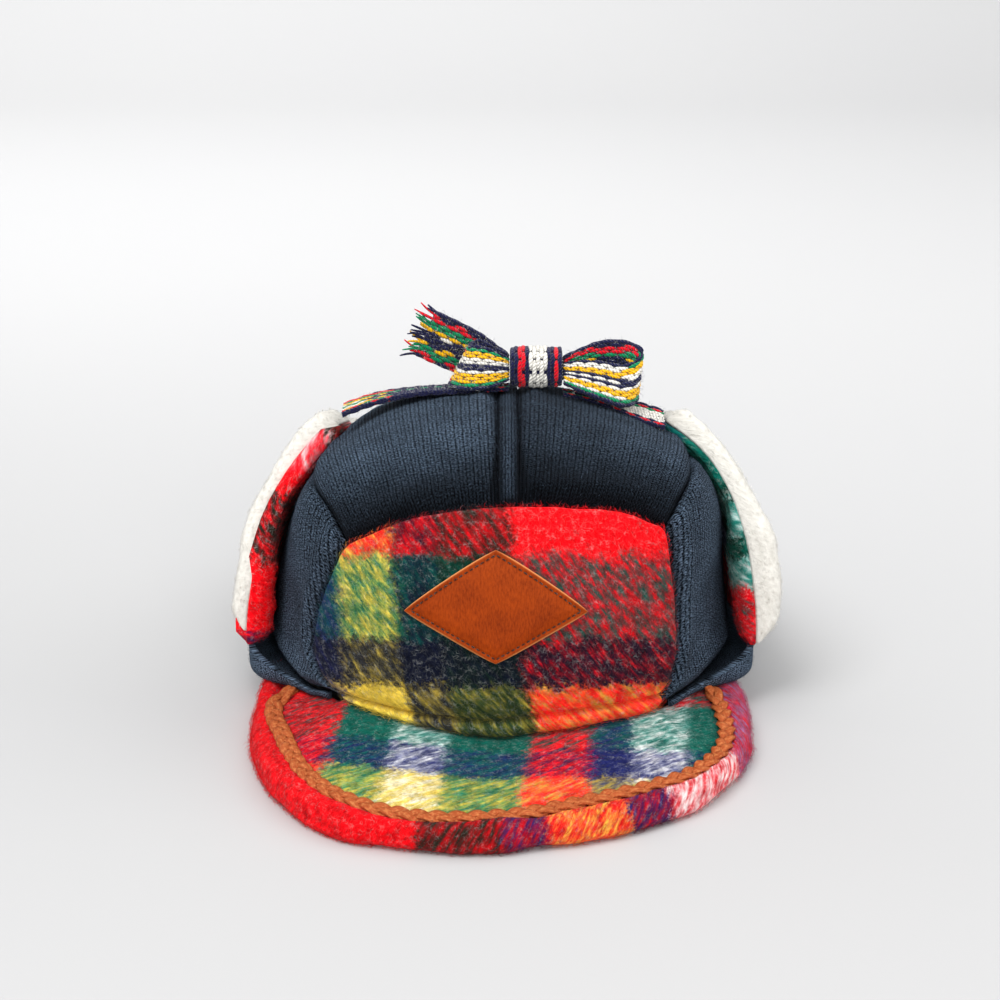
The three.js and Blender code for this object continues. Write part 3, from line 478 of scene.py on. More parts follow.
def wall(name, node, material, outer, inner, step, cloth, inner_cloth=None, shade=None):
    """The piece that replaces a node with a shell of one material."""
    points, faces = shell(outer, inner, step)
    places = on_both_faces(cloth, step, inner_cloth)
    values = None if shade is None else on_both_faces(shade, step)
    piece = build(name, points, faces, [material], places, shade=values)
    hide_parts(node)
    return piece


def rings(sections):
    """Faces round a row of rings of points, with a fan of faces over each end."""
    count, sides = sections.shape[:2]
    at = np.arange(count * sides).reshape(count, sides)
    around = np.roll(at, -1, axis=1)
    walls = np.stack([at[:-1], around[:-1], around[1:], at[1:]], axis=-1).reshape(-1, 4)
    caps = [np.stack([np.full(sides - 2, ring[0]), ring[1:-1], ring[2:]], axis=-1)
            for ring in (at[0, ::-1], at[-1])]
    return [walls] + caps


FIBRE_POINTS = 5


def slivers(root, middle, tip, radius):
    """Thin closed fibres, each bent at its three-sided middle and pointed at both ends."""
    axis = unit(tip - root)
    upright = np.where(np.abs(axis[:, 2:]) < 0.9, [0.0, 0.0, 1.0], [1.0, 0.0, 0.0])
    side = unit(np.cross(axis, upright))
    lift = np.cross(side, axis)
    spokes = [radius[:, None] * (math.cos(a) * side + math.sin(a) * lift) for a in (0, 2.1, 4.2)]
    points = np.stack([root] + [middle + spoke for spoke in spokes] + [tip], axis=1)
    first = FIBRE_POINTS * np.arange(len(root))[:, None]
    pattern = np.array([(0, 2, 1), (0, 3, 2), (0, 1, 3), (4, 1, 2), (4, 2, 3), (4, 3, 1)])
    faces = (first[:, :, None] + pattern[None]).reshape(-1, 3)
    return points.reshape(-1, 3), flipped_out(points.reshape(-1, 3), [faces])[0]


def scatter(points, normals, cloth, count, rng, weight):
    """Random places on a grid: point, normal, the two grid directions and cloth place."""
    cell = cell_areas(points)
    if weight is not None:
        cell = cell * weight[:-1, :-1]
    pick = rng.choice(cell.size, count, p=(cell / cell.sum()).ravel())
    j, i = np.divmod(pick, cell.shape[1])
    a, b = rng.random((2, count, 1))

    def blend(values):
        lower = values[j, i] * (1 - a) + values[j, i + 1] * a
        upper = values[j + 1, i] * (1 - a) + values[j + 1, i + 1] * a
        return lower * (1 - b) + upper * b

    across = unit(points[j, i + 1] - points[j, i])
    along = unit(points[j + 1, i] - points[j, i])
    return blend(points), unit(blend(normals)), across, along, blend(cloth)


def nap(name, surface, count, rng, material, length, lift, width, comb, spread, weight=None):
    """Brushed-up fibres on a surface, which is a grid's points, normals and cloth places. comb is the
    direction they mostly lie in, in degrees from the cloth's width, and spread how far they stray."""
    point, normal, across, along, cloth = scatter(*surface, count, rng, weight)
    angle = np.radians(comb + spread * rng.standard_normal((count, 1)))
    flat = unit(across * np.cos(angle) + along * np.sin(angle))
    side = np.cross(normal, flat)
    run = length * rng.uniform(0.55, 1.35, (count, 1))
    rise = lift * rng.uniform(0.3, 1.4, (count, 1))
    bow = run * rng.normal(0, 0.24, (count, 1))
    root = point - 0.25 * normal
    middle = point + 0.5 * run * flat + 0.75 * rise * normal + bow * side
    tip = point + run * flat + rise * rng.uniform(0.2, 1.2, (count, 1)) * normal
    radius = width / 2 * rng.uniform(0.7, 1.3, count)
    for bend in (root, middle, tip):
        bend[:, 2] = np.maximum(bend[:, 2], width)
    points, faces = slivers(root, middle, tip, radius)
    piece = build(name, points, [faces], [material], np.repeat(cloth, FIBRE_POINTS, axis=0))
    bake = piece.data.uv_layers.new(name="OFBake", do_init=False)
    own = np.repeat((cloth - cloth.min(0)) / np.ptp(cloth, axis=0), FIBRE_POINTS, axis=0)
    bake.uv.foreach_set("vector", own[faces.ravel()].astype(np.float32).ravel())


# ---- Colours and material tools ----

def paint(code):
    """A colour for a shader from its usual six-figure code."""
    parts = [int(code[i:i + 2], 16) / 255 for i in (0, 2, 4)]
    return tuple(c / 12.92 if c <= 0.04045 else ((c + 0.055) / 1.055) ** 2.4 for c in parts) + (1.0,)


WOOL_RED, WOOL_GREEN, WOOL_NAVY = paint("f0081a"), paint("046457"), paint("1e2560")
WOOL_YELLOW, WOOL_WHITE = paint("dfc350"), paint("e4e3e0")
WOOL_PINE, WOOL_INK, WOOL_MAUVE = paint("102c20"), paint("10162c"), paint("82709a")
# A darker copy of the red for the peak's rolled edge, which faces the front lamp: painted shade, so that the
# roll shows no brighter than the other reds.
ROLL_RED_PAINTED_SHADE = paint("d60a18")
COTTON = {"n": paint("1c1f4a"), "r": paint("e60e2a"), "g": paint("029262"), "y": paint("f8c004"),
          "w": paint("efece4")}
PALE_HAIR = (0.5, 0.52, 0.5, 1.0)
# KNIT_DARK is both the yarn's dark speckle and the painted shade in the knit's furrows, holes and seams.
KNIT_DARK, KNIT_LIGHT = paint("020305"), paint("74879c")
KNIT_LINT, KNIT_SHEEN = paint("7f8a9b"), paint("b4c0d8")
# The darker fleece colour is painted shade, for the hollows of the pile.
FLEECE_HOLLOW_SHADE, FLEECE_PALE = paint("c8c5bd"), paint("dcd9d2")
TAN, TAN_DEEP, TAN_EDGE = paint("a04408"), paint("5e1c02"), paint("dc9a63")
BRAID_TAN, BRAID_DEEP = paint("b4623a"), paint("7c3414")
THREAD = paint("4c2410")
EVEN_WEIGHT = 0.5
STRIPE_SOFTNESS = 1.5
PLAID_ACROSS, PLAID_ALONG = (-160, 160), (-40, 200)


class Shading:
    """Short ways to add nodes to a material or a node group and to join them."""

    def __init__(self, tree):
        self.tree = tree

    def add(self, kind, *inputs, **settings):
        """A node with its settings. Its inputs are given in order, or in a dict by name or number."""
        node = self.tree.nodes.new("ShaderNode" + kind)
        by_name = settings.pop("inputs", {})
        for setting, value in settings.items():
            setattr(node, setting, value)
        for key, value in list(enumerate(inputs)) + list(by_name.items()):
            if isinstance(value, bpy.types.NodeSocket):
                self.tree.links.new(value, node.inputs[key])
            else:
                node.inputs[key].default_value = value
        return node

    def use(self, group, **values):
        """Places a group. Its outputs come back by name."""
        return self.add("Group", node_tree=group, inputs=values).outputs

    def math(self, operation, *values, clamp=False):
        return self.add("Math", *values, operation=operation, use_clamp=clamp).outputs[0]

    def vector(self, operation, *values):
        return self.add("VectorMath", *values, operation=operation).outputs[0]

    def product(self, first, *others):
        for other in others:
            first = self.math("MULTIPLY", first, other)
        return first

    def total(self, *parts):
        """A sum. A part is a value, or a value with how many times it counts."""
        first, *others = [self.product(*part) if isinstance(part, tuple) else part for part in parts]
        for other in others:
            first = self.math("ADD", first, other)
        return first

    def off_middle(self, value, gain):
        """How far a value from 0 to 1 lies from its middle."""
        return self.product(self.math("SUBTRACT", value, 0.5), gain)

    def zigzag(self, turns):
        """0.5 at each whole turn and 0 half way between."""
        return self.math("ABSOLUTE", self.math("SUBTRACT", self.math("FRACT", turns), 0.5))

    def span(self, value, low, high, start=0.0, finish=1.0, smooth=False):
        kind = "SMOOTHSTEP" if smooth else "LINEAR"
        return self.add("MapRange", value, low, high, start, finish, interpolation_type=kind).outputs[0]

    def blend(self, share, first, second, mode="MIX"):
        sockets = {0: share, 6: first, 7: second}
        return self.add("Mix", data_type="RGBA", blend_type=mode, inputs=sockets).outputs[2]

    def shaded(self, colour, level):
        """A colour made darker or lighter."""
        grey = self.add("CombineColor", level, level, level).outputs[0]
        return self.blend(1.0, colour, grey, "MULTIPLY")

    def cloud(self, place, scale, detail=2.0, roughness=0.5, squeeze=None):
        """Soft noise from 0 to 1. squeeze makes it finer, by its own factor in each direction."""
        if squeeze is not None:
            place = self.vector("MULTIPLY", place, squeeze)
        values = {"Vector": place, "Scale": scale, "Detail": detail, "Roughness": roughness}
        return self.add("TexNoise", inputs=values).outputs[0]

    def cloth(self):
        """The place on the cloth, in millimetres across and along it."""
        return self.add("UVMap", uv_map="cloth").outputs[0]

    def bands(self, value, low, high, stripes):
        """Stripes of plain colour and how much each one shows. A stripe starts at its own place, and
        its edge fades over twice the soft width."""
        soft = STRIPE_SOFTNESS
        ramp = self.add("ValToRGB", self.span(value, low, high))
        elements = ramp.color_ramp.elements
        starts = [stripe[0] for stripe in stripes] + [high + soft]
        stops = []
        for (start, colour, *weight), finish in zip(stripes, starts[1:]):
            shown = colour[:3] + (weight[0] if weight else EVEN_WEIGHT,)
            stops += [(max(start + soft, low), shown), (min(finish - soft, high), shown)]
        while len(elements) < len(stops):
            elements.new(1.0)
        for element, (place, shown) in zip(elements, stops):
            element.position = (place - low) / (high - low)
            element.color = shown
        return ramp.outputs[0], ramp.outputs[1]


def node_group(name, sockets_in, sockets_out, body):
    """A shader node group with named inputs and outputs. body joins them up."""
    group = bpy.data.node_groups.new(name, "ShaderNodeTree")
    for label, kind, default in sockets_in:
        socket = group.interface.new_socket(label, in_out="INPUT", socket_type="NodeSocket" + kind)
        if default is not None:
            socket.default_value = default
    for label, kind in sockets_out:
        group.interface.new_socket(label, in_out="OUTPUT", socket_type="NodeSocket" + kind)
    start = group.nodes.new("NodeGroupInput")
    finish = group.nodes.new("NodeGroupOutput")
    results = body(Shading(group), *(start.outputs[label] for label, *_ in sockets_in))
    for label, socket in results.items():
        group.links.new(socket, finish.inputs[label])
    return group


def finish_of(name, make, **fixed):
    """A material: make returns what is linked to the shader; fixed values are set on its sockets."""
    material = bpy.data.materials.new(name)
    material.use_nodes = True
    tree = material.node_tree
    tree.nodes.clear()
    shading = Shading(tree)
    shader = shading.add("BsdfPrincipled")
    for key, value in fixed.items():
        shader.inputs[key.replace("_", " ")].default_value = value
    linked = make(shading)
    level, depth = linked.pop("Height", (None, None))
    for key, socket in linked.items():
        tree.links.new(socket, shader.inputs[key])
    if level is not None:
        bump = shading.add("Bump", inputs={"Strength": 1.0, "Distance": depth, "Height": level})
        tree.links.new(bump.outputs[0], shader.inputs["Normal"])
    output = shading.add("OutputMaterial")
    tree.links.new(shader.outputs[0], output.inputs[0])
    return material


def cloth_finish(name, group, depth, inputs, **fixed):
    """A material that shows one group on a cloth. inputs makes the group's other inputs, and depth is
    how deep its relief goes, in metres."""
    def make(s):
        cloth = s.cloth()
        look = s.use(group, Cloth=cloth, **inputs(s, cloth))
        linked = {"Base Color": look["Colour"], "Height": (look["Height"], depth)}
        if "Roughness" in look:
            linked["Roughness"] = look["Roughness"]
        return linked
    return finish_of(name, make, **fixed)


# ---- Shared effects ----

def brushed_edges(s, cloth, across, along):
    """Brushing drags the yarns' colours out of line: a place on the cloth is moved a little."""
    coarse, fine = (s.add("TexNoise", inputs={"Vector": cloth, "Scale": scale, "Detail": detail}).outputs[1]
                    for scale, detail in ((0.14, 2.0), (0.8, 3.0)))
    drag = s.vector("SUBTRACT", s.vector("ADD", coarse, fine), (1.0, 1.0, 1.0))
    moved = s.vector("MULTIPLY", drag, s.add("CombineXYZ", across, along, 0.0).outputs[0])
    place = s.add("SeparateXYZ", s.vector("ADD", cloth, moved)).outputs
    return {"Across": place[0], "Along": place[1]}


WANDER = node_group(
    "brushed_edges",
    [("Cloth", "Vector", None), ("Across", "Float", 8.0), ("Along", "Float", 9.0)],
    [("Across", "Float"), ("Along", "Float")], brushed_edges)


def brushed_twill(s, cloth, warp, weft, slant, lean, hairiness):
    """Warp and weft yarns mixed in soft slanting locks, under a brushed nap with pale curly hairs."""
    turn = s.add("VectorRotate", inputs={"Vector": cloth, "Angle": slant}, rotation_type="Z_AXIS")
    turned = turn.outputs[0]
    wale = s.cloud(turned, 1.0, squeeze=(0.12, 0.46, 1.0))
    lock = s.cloud(turned, 1.0, squeeze=(0.3, 0.9, 1.0))
    fibre = s.cloud(turned, 1.0, 3.0, 0.7, squeeze=(0.7, 2.2, 1.0))
    mixed = s.total(s.off_middle(wale, 2.0), s.off_middle(lock, 0.9), s.off_middle(fibre, 0.5), lean)
    share = s.span(mixed, -0.52, 0.52, 0.1, 0.9, smooth=True)
    # Yarns are mixed by the square roots of their colours, so that no mixture looks too light.
    warp, weft = (s.add("Gamma", yarn, 0.5).outputs[0] for yarn in (warp, weft))
    colour = s.add("Gamma", s.blend(share, weft, warp), 2.0).outputs[0]
    # Where the locks and fibres lie lower the colour is darker: painted shade between them. The clumps vary
    # the tone at random.
    clump = s.cloud(cloth, 0.22)
    colour = s.shaded(colour, s.span(s.total((clump, 0.7), (lock, 0.7), (fibre, 0.6)), 0.72, 1.28, 0.6, 1.5))

    def curls(place, scale, strength):
        """Thin lines along the middle level of soft noise."""
        from_line = s.math("ABSOLUTE", s.off_middle(s.cloud(place, scale, 1.0, 0.4), 1.0))
        return s.span(from_line, 0.012, 0.04, strength, 0.0)

    second_layer = s.vector("ADD", cloth, (31.0, 7.0, 0.0))
    hairs = s.math("MAXIMUM", curls(cloth, 0.5, 1.0), curls(second_layer, 0.75, 0.8))
    hairs = s.product(hairs, s.span(s.cloud(cloth, 0.4), 0.45, 0.62))
    haze = s.product(s.span(fibre, 0.42, 0.72), 0.14)
    pale = s.blend(0.5, colour, PALE_HAIR)
    colour = s.blend(s.product(s.math("ADD", hairs, haze), hairiness), colour, pale)
    return {"Colour": colour, "Height": s.total((wale, 0.6), (lock, 0.7), (fibre, 0.45), (hairs, 0.1))}


TWILL = node_group(
    "brushed_twill",
    [("Cloth", "Vector", None), ("Warp", "Color", (1, 1, 1, 1)), ("Weft", "Color", (0, 0, 0, 1)),
     ("Slant", "Float", 0.0), ("Lean", "Float", 0.0), ("Hair", "Float", 0.5)],
    [("Colour", "Color"), ("Height", "Float")], brushed_twill)


def rib_knit(s, cloth, rib_pitch, stitch_pitch, dark_speckle_and_shade, light_yarn, painted_shade):
    """Ribs of small V stitches with dotted furrows between them, every other one deeper, in a fuzzy yarn.
    The furrows and the low parts of the stitches take the dark colour: painted shade.
    """
    place = s.add("SeparateXYZ", cloth).outputs
    turns = s.math("DIVIDE", s.math("ADD", place[0], s.off_middle(s.cloud(cloth, 0.25), 0.5)), rib_pitch)
    rib = s.zigzag(turns)
    drift = s.off_middle(s.cloud(cloth, 0.5), 1.2)
    stitch = s.zigzag(s.total(s.math("DIVIDE", place[1], stitch_pitch), (rib, 1.5), drift))
    dots = s.span(stitch, 0.1, 0.4, 0.55, 1.0, smooth=True)
    broken = s.span(s.cloud(cloth, 0.9, squeeze=(1.0, 0.4, 1.0)), 0.35, 0.6, 0.65, 1.0)
    half_turns = s.product(s.math("ADD", turns, 0.5), 0.5)
    deeper = s.math("GREATER_THAN", s.math("FRACT", half_turns), 0.5)
    furrow = s.product(s.span(rib, 0.2, 0.42, smooth=True), dots, broken, s.span(deeper, 0.0, 1.0, 0.62, 1.0))
    loop = s.product(s.span(stitch, 0.5, 0.2, 0.25, 1.0, smooth=True), s.math("SUBTRACT", 1.0, furrow))
    fuzz = s.cloud(cloth, 1.3, 3.0, 0.8, squeeze=(1.3, 1.0, 1.0))
    heather = s.cloud(cloth, 0.1, 3.0)
    light = s.math("SUBTRACT", s.total((loop, 0.76), s.off_middle(fuzz, 4.2)), 0.18)
    light = s.math("MULTIPLY", light, s.span(heather, 0.3, 0.7, 0.7, 1.2), clamp=True)
    # The mesh's painted shade darkens the knit, or lightens it where it is below 0: painted light.
    light = s.product(light, s.math("SUBTRACT", 1.0, painted_shade))
    colour = s.blend(light, dark_speckle_and_shade, light_yarn)
    lint = s.span(s.cloud(cloth, 1.3, 3.0, 0.8, squeeze=(1.0, 2.6, 1.0)), 0.68, 0.8)
    colour = s.blend(s.product(lint, 0.5), colour, KNIT_LINT)
    return {"Colour": colour, "Height": s.total((loop, 0.8), (fuzz, 0.6))}


KNIT = node_group(
    "rib_knit",
    [("Cloth", "Vector", None), ("Pitch", "Float", RIB_PITCH), ("Stitch", "Float", STITCH_PITCH),
     ("Dark", "Color", KNIT_DARK), ("Light", "Color", KNIT_LIGHT), ("Shade", "Float", 0.0)],
    [("Colour", "Color"), ("Height", "Float")], rib_knit)


def leather_grain(s, cloth, tan, deep, edge, wear):
    """Worn leather: fine grain drawn one way, soft patches of tone, and a paler worn edge."""
    grain = s.cloud(cloth, 1.7, 4.0, 0.65, squeeze=(1.0, 0.3, 1.0))
    pores = s.cloud(cloth, 3.2, 3.0, 0.6)
    tone = s.cloud(cloth, 0.09)
    dark = s.math("ADD", s.span(grain, 0.4, 0.66, 0.0, 0.42), s.span(tone, 0.35, 0.7, 0.0, 0.3))
    colour = s.blend(dark, tan, deep)
    colour = s.blend(s.product(wear, s.span(pores, 0.3, 0.6, 0.6, 1.0)), colour, edge)
    rough = s.span(s.math("ADD", grain, pores), 0.7, 1.3, 0.5, 0.75)
    return {"Colour": colour, "Roughness": rough, "Height": s.total(grain, (pores, 0.5))}


GRAIN = node_group(
    "leather_grain",
    [("Cloth", "Vector", None), ("Tan", "Color", TAN), ("Deep", "Color", TAN_DEEP),
     ("Edge", "Color", TAN_EDGE), ("Wear", "Float", 0.0)],
    [("Colour", "Color"), ("Roughness", "Float"), ("Height", "Float")], leather_grain)


def yarn_twist(s, cloth, yarn):
    """Two plies twisted round one another, with loose fibres."""
    place = s.add("SeparateXYZ", cloth).outputs
    lay = s.total((place[1], 4.6), (place[0], 3.2))
    ply = s.product(s.math("ADD", s.math("SINE", lay), 1.0), 0.5)
    fuzz = s.cloud(cloth, 3.0, 3.0, 0.7)
    # The grooves between the plies are darker: painted shade. The fuzz varies the tone at random.
    shade = s.product(s.span(ply, 0.0, 0.6, 0.72, 1.05), s.span(fuzz, 0.3, 0.7, 0.82, 1.12))
    return {"Colour": s.shaded(yarn, shade), "Height": s.total(ply, (fuzz, 0.5))}


TWIST = node_group(
    "yarn_twist", [("Cloth", "Vector", None), ("Yarn", "Color", (1, 1, 1, 1))],
    [("Colour", "Color"), ("Height", "Float")], yarn_twist)


# ---- Finishes ----

def plaid(name, columns, rows, slant, hair=0.55):
    """Brushed plaid wool. Columns and rows are stripes, each with its start in millimetres of cloth, its
    colour and, where it isn't even, how strongly it shows over the stripes that cross it. The slant is
    the angle of the twill, in degrees."""
    def inputs(s, cloth):
        moved = s.use(WANDER, Cloth=cloth)
        warp, warp_weight = s.bands(moved["Across"], *PLAID_ACROSS, columns)
        weft, weft_weight = s.bands(moved["Along"], *PLAID_ALONG, rows)
        return {"Warp": warp, "Weft": weft, "Slant": math.radians(slant), "Hair": hair,
                "Lean": s.math("SUBTRACT", warp_weight, weft_weight)}
    return cloth_finish(name, TWILL, 0.0008, inputs, Roughness=1.0, Specular_IOR_Level=0.05,
                        Sheen_Weight=0.06, Sheen_Roughness=0.5)


FRONT_PLAID = plaid(
    "front_plaid",
    [(-160, WOOL_NAVY, 0.55), (-57.9, WOOL_YELLOW, 0.58), (-37.3, WOOL_INK, 0.6), (-21.1, WOOL_PINE, 0.7),
     (7, WOOL_RED, 0.56)],
    [(-40, WOOL_YELLOW, 0.47), (31.5, WOOL_INK, 0.8), (49.8, WOOL_GREEN, 0.53), (82, WOOL_RED, 0.66)],
    slant=58)
PEAK_PLAID = plaid(
    "peak_plaid",
    [(-160, WOOL_RED, 0.74), (-58.5, WOOL_GREEN), (-37.5, WOOL_WHITE, 0.46), (-18.5, WOOL_GREEN),
     (10.5, WOOL_RED, 0.63), (33.2, WOOL_NAVY), (47.4, WOOL_WHITE, 0.5), (67.5, WOOL_GREEN),
     (80, WOOL_RED, 0.6)],
    [(-40, WOOL_RED), (73.4, WOOL_GREEN), (110.5, WOOL_NAVY), (129, WOOL_YELLOW, 0.53)],
    slant=35)
ROLL_PLAID = plaid(
    "peak_edge_plaid",
    [(-160, ROLL_RED_PAINTED_SHADE), (-29, WOOL_PINE, 0.52), (1, WOOL_NAVY, 0.49), (17, WOOL_YELLOW, 0.43),
     (46, WOOL_NAVY, 0.55), (64, WOOL_WHITE, 0.57), (104, WOOL_MAUVE, 0.54)],
    [(-40, ROLL_RED_PAINTED_SHADE)],
    slant=60, hair=0.35)
FLAP_PLAID_LEFT = plaid(
    "left_flap_plaid",
    [(-160, WOOL_RED, 0.6), (34, WOOL_GREEN), (56, WOOL_NAVY)],
    [(-40, WOOL_NAVY), (29, WOOL_RED), (54, WOOL_PINE, 0.68), (78, WOOL_RED), (85, WOOL_WHITE, 0.5),
     (92, WOOL_PINE, 0.72)],
    slant=12)
FLAP_PLAID_RIGHT = plaid(
    "right_flap_plaid",
    [(-160, WOOL_GREEN), (30, WOOL_NAVY)],
    [(-40, WOOL_NAVY), (23, WOOL_RED, 0.8), (46.5, WOOL_WHITE, 0.44), (56, WOOL_PINE, 0.55),
     (66, WOOL_WHITE, 0.4), (76, WOOL_PINE, 0.5), (82, WOOL_GREEN), (96, WOOL_NAVY)],
    slant=-30)


def painted_knit_shading(s, _):
    # The knit's painted shade, as each mesh carries it.
    return {"Shade": s.add("Attribute", attribute_name="painted_shade").outputs["Fac"]}


NAVY_KNIT = cloth_finish("navy_rib_knit", KNIT, 0.0008, painted_knit_shading, Roughness=1.0,
                         Specular_IOR_Level=0.08, Sheen_Weight=0.08, Sheen_Roughness=0.3,
                         Sheen_Tint=KNIT_SHEEN)


def fleece_look(s):
    cloth = s.cloth()
    pile = s.total(s.cloud(cloth, 0.4), (s.cloud(cloth, 1.8, 3.0, 0.7), 0.5))
    # The fleece is painted darker where its pile lies lower: painted shade in the hollows.
    return {"Base Color": s.blend(s.span(pile, 0.5, 0.9), FLEECE_HOLLOW_SHADE, FLEECE_PALE), "Height": (pile, 0.0005)}


FLEECE = finish_of("sherpa_fleece", fleece_look, Roughness=1.0, Specular_IOR_Level=0.05, Sheen_Weight=0.2,
                   Sheen_Roughness=0.6)


def leather(name, tan, deep, wear):
    """wear is a function from the shading and cloth place to how pale the surface is worn."""
    def inputs(s, cloth):
        return {"Tan": tan, "Deep": deep, "Wear": wear(s, cloth)}
    return cloth_finish(name, GRAIN, 0.0002, inputs, Specular_IOR_Level=0.16)


def patch_wear(s, cloth):
    """Only a narrow band along the diamond's edge, where both shares add up to nearly 1, is worn."""
    place = s.add("SeparateXYZ", cloth).outputs
    shares_out = [s.math("DIVIDE", s.math("ABSOLUTE", place[side]), PATCH[half])
                  for side, half in ((0, "half_width"), (1, "half_height"))]
    return s.span(s.total(*shares_out), 0.955, 0.99, 0.0, 0.95)


def braid_wear(s, cloth):
    return s.span(s.cloud(cloth, 0.8), 0.45, 0.7, 0.0, 0.5)


PATCH_LEATHER = leather("patch_leather", TAN, TAN_DEEP, patch_wear)
BRAID_LEATHER = leather("braid_leather", BRAID_TAN, BRAID_DEEP, braid_wear)


def yarn_finish(name, colour):
    return cloth_finish(name, TWIST, 0.0003, lambda s, cloth: {"Yarn": colour}, Roughness=0.85,
                        Specular_IOR_Level=0.25, Sheen_Weight=0.25)


YARNS = {key: yarn_finish(name + "_cotton", COTTON[key]) for key, name in
         (("n", "navy"), ("r", "red"), ("g", "green"), ("y", "yellow"), ("w", "white"))}
STITCH_THREAD = yarn_finish("brown_stitching", THREAD)


# ---- Relief that several pieces share ----

def rolled(distance, radius, drop):
    """How far a sewn edge rolls down, at a distance in from it."""
    return drop * (1 - rounding(distance, radius))


def edge_distances(points):
    """Distance in from the left, right, first and last edge of a grid."""
    across, along = spans(points)
    return across, across[:, -1:] - across, along, along[-1:] - along


def pairs(*columns):
    return np.stack(np.broadcast_arrays(*columns), axis=-1)


def cords(paths, radii, sides, up, flat=1.0):
    """Short cords along many paths at once: points, faces and a cloth place for each corner."""
    n, m = paths.shape[:2]
    run = unit(np.gradient(paths, axis=1))
    side = unit(np.cross(run, np.broadcast_to(up, paths.shape)))
    lift = np.cross(side, run)
    angle = 2 * np.pi * np.arange(sides) / sides
    spokes = (np.cos(angle)[:, None] * side[:, :, None] + flat * np.sin(angle)[:, None] * lift[:, :, None])
    points = (paths[:, :, None] + radii[..., None, None] * spokes).reshape(-1, 3)
    at = np.arange(n * m * sides).reshape(n, m, sides)
    around = np.roll(at, -1, axis=2)
    quads = np.stack([at[:, :-1], around[:, :-1], around[:, 1:], at[:, 1:]], axis=-1).reshape(-1, 4)
    length = length_along(paths, 1) + 7.3 * np.arange(n)[:, None]
    girth = 2 * np.pi * radii.max(axis=1)[:, None, None] / sides
    x0 = np.broadcast_to(girth * np.arange(sides), (n, m - 1, sides))
    x1 = x0 + girth
    y0 = np.broadcast_to(length[:, :-1, None], x0.shape)
    y1 = np.broadcast_to(length[:, 1:, None], x0.shape)
    wall_places = np.stack([x0, y0, x1, y0, x1, y1, x0, y1], axis=-1).reshape(-1, 2)
    caps = np.concatenate([at[:, 0, ::-1], at[:, -1]])
    cap_places = np.repeat(np.stack([np.zeros(2 * n), np.concatenate([length[:, 0], length[:, -1]])], -1),
                           sides, axis=0)
    return points, [quads, caps], np.concatenate([wall_places, cap_places])


def corded(name, node, materials, parts):
    """The piece that replaces a node with several sets of cords. Each part is its points, faces, cloth
    places and material's number."""
    faces, numbers, start = [], [], 0
    for points, own_faces, _, number in parts:
        faces += [f + start for f in own_faces]
        numbers += [np.full(len(f), number) for f in own_faces]
        start += len(points)
    all_points, all_places = (np.concatenate([part[k] for part in parts]) for k in (0, 2))
    piece = build(name, all_points, faces, materials, all_places, np.concatenate(numbers))
    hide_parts(node)


# ---- Front panel ----

def front_top(azimuth):
    return heading(azimuth, value_at(FRONT_TOP_SEAM, "elevation", azimuth))


def front_foot_at(azimuth):
    return heading(azimuth, value_at(FRONT_FOOT, "elevation", azimuth))


def front_foot(azimuth):
    """Height of the front panel's foot. Beyond its corners it stays as it is there."""
    return crown_point(front_foot_at(np.clip(azimuth, *FRONT_FOOT["azimuth"][[0, -1]])))[..., 2]


def front_panel():
    u, t = shares(140, 110)
    # The welt along the foot takes many of the rows.
    rows_in_welt, welt_share = 0.3, 0.13
    v = np.where(t < rows_in_welt, welt_share * t / rows_in_welt,
                 lerp(welt_share, 1, (t - rows_in_welt) / (1 - rows_in_welt)))
    at = inset_patch(patch_of(
        bottom=lambda w: front_foot_at(lerp(*FRONT_FOOT["azimuth"][[0, -1]], w)),
        top=lambda w: front_top(lerp(*FRONT_TOP_SEAM["azimuth"][[0, -1]], w)),
        left=seam(SIDES["left"]["front_seam"], -1),
        right=seam(SIDES["right"]["front_seam"])))
    direction = at(u, v)
    skin = crown_point(direction)
    left, right, foot, head = edge_distances(skin)
    welt = 2.2 * np.sqrt(np.clip(1 - ((foot - 2.8) / 2.9) ** 2, 0, 1))
    crease = -1.5 * ridge(foot, 6.1, 0.9)
    swell = 1.3 * smoothstep(foot, 6, 12) * (1 - smoothstep(foot, 14, 40))
    sewn = rolled(np.minimum(left, right), 4, 2.2) + rolled(head, 3.5, 2.4)
    x, y, z = np.moveaxis(skin, -1, 0)
    drawn = 0.006 * np.maximum(40 - z, 0) ** 2
    cloth = pairs(x - drawn - 0.085 * (60 - z), z + 0.364 * (y + HALF_LENGTH))
    slant, stretch = 1.95, 3.4
    turned = pairs(cloth @ [math.cos(slant), math.sin(slant)] / stretch,
                   cloth @ [-math.sin(slant), math.cos(slant)], 0.0)
    streaks = 0.42 * noise(turned, 2.3, 11) * smoothstep(x, -60, 30)
    puckers = 0.7 * noise(skin, 24, 12) + 0.42 * noise(skin, 7, 13) + 0.18 * noise(skin, 3, 14)
    relief = FRONT_PROUD + welt + crease + swell + streaks + puckers - sewn
    outer = crown_point(direction, relief)
    inner = crown_point(direction, -FRONT_THICKNESS)
    wall("plaid_front_panel", "front_panel", FRONT_PLAID, outer, inner, 5, cloth)
    shown = 0.3 + 0.7 * smoothstep(least(left, right, head), 0, 5)
    nap("plaid_front_nap", (outer, normals_of(outer, direction), cloth), 23000, np.random.default_rng(5),
        FRONT_PLAID, length=3.2, lift=1.0, width=0.09, comb=112, spread=60, weight=shown)


# ---- Knit crown ----

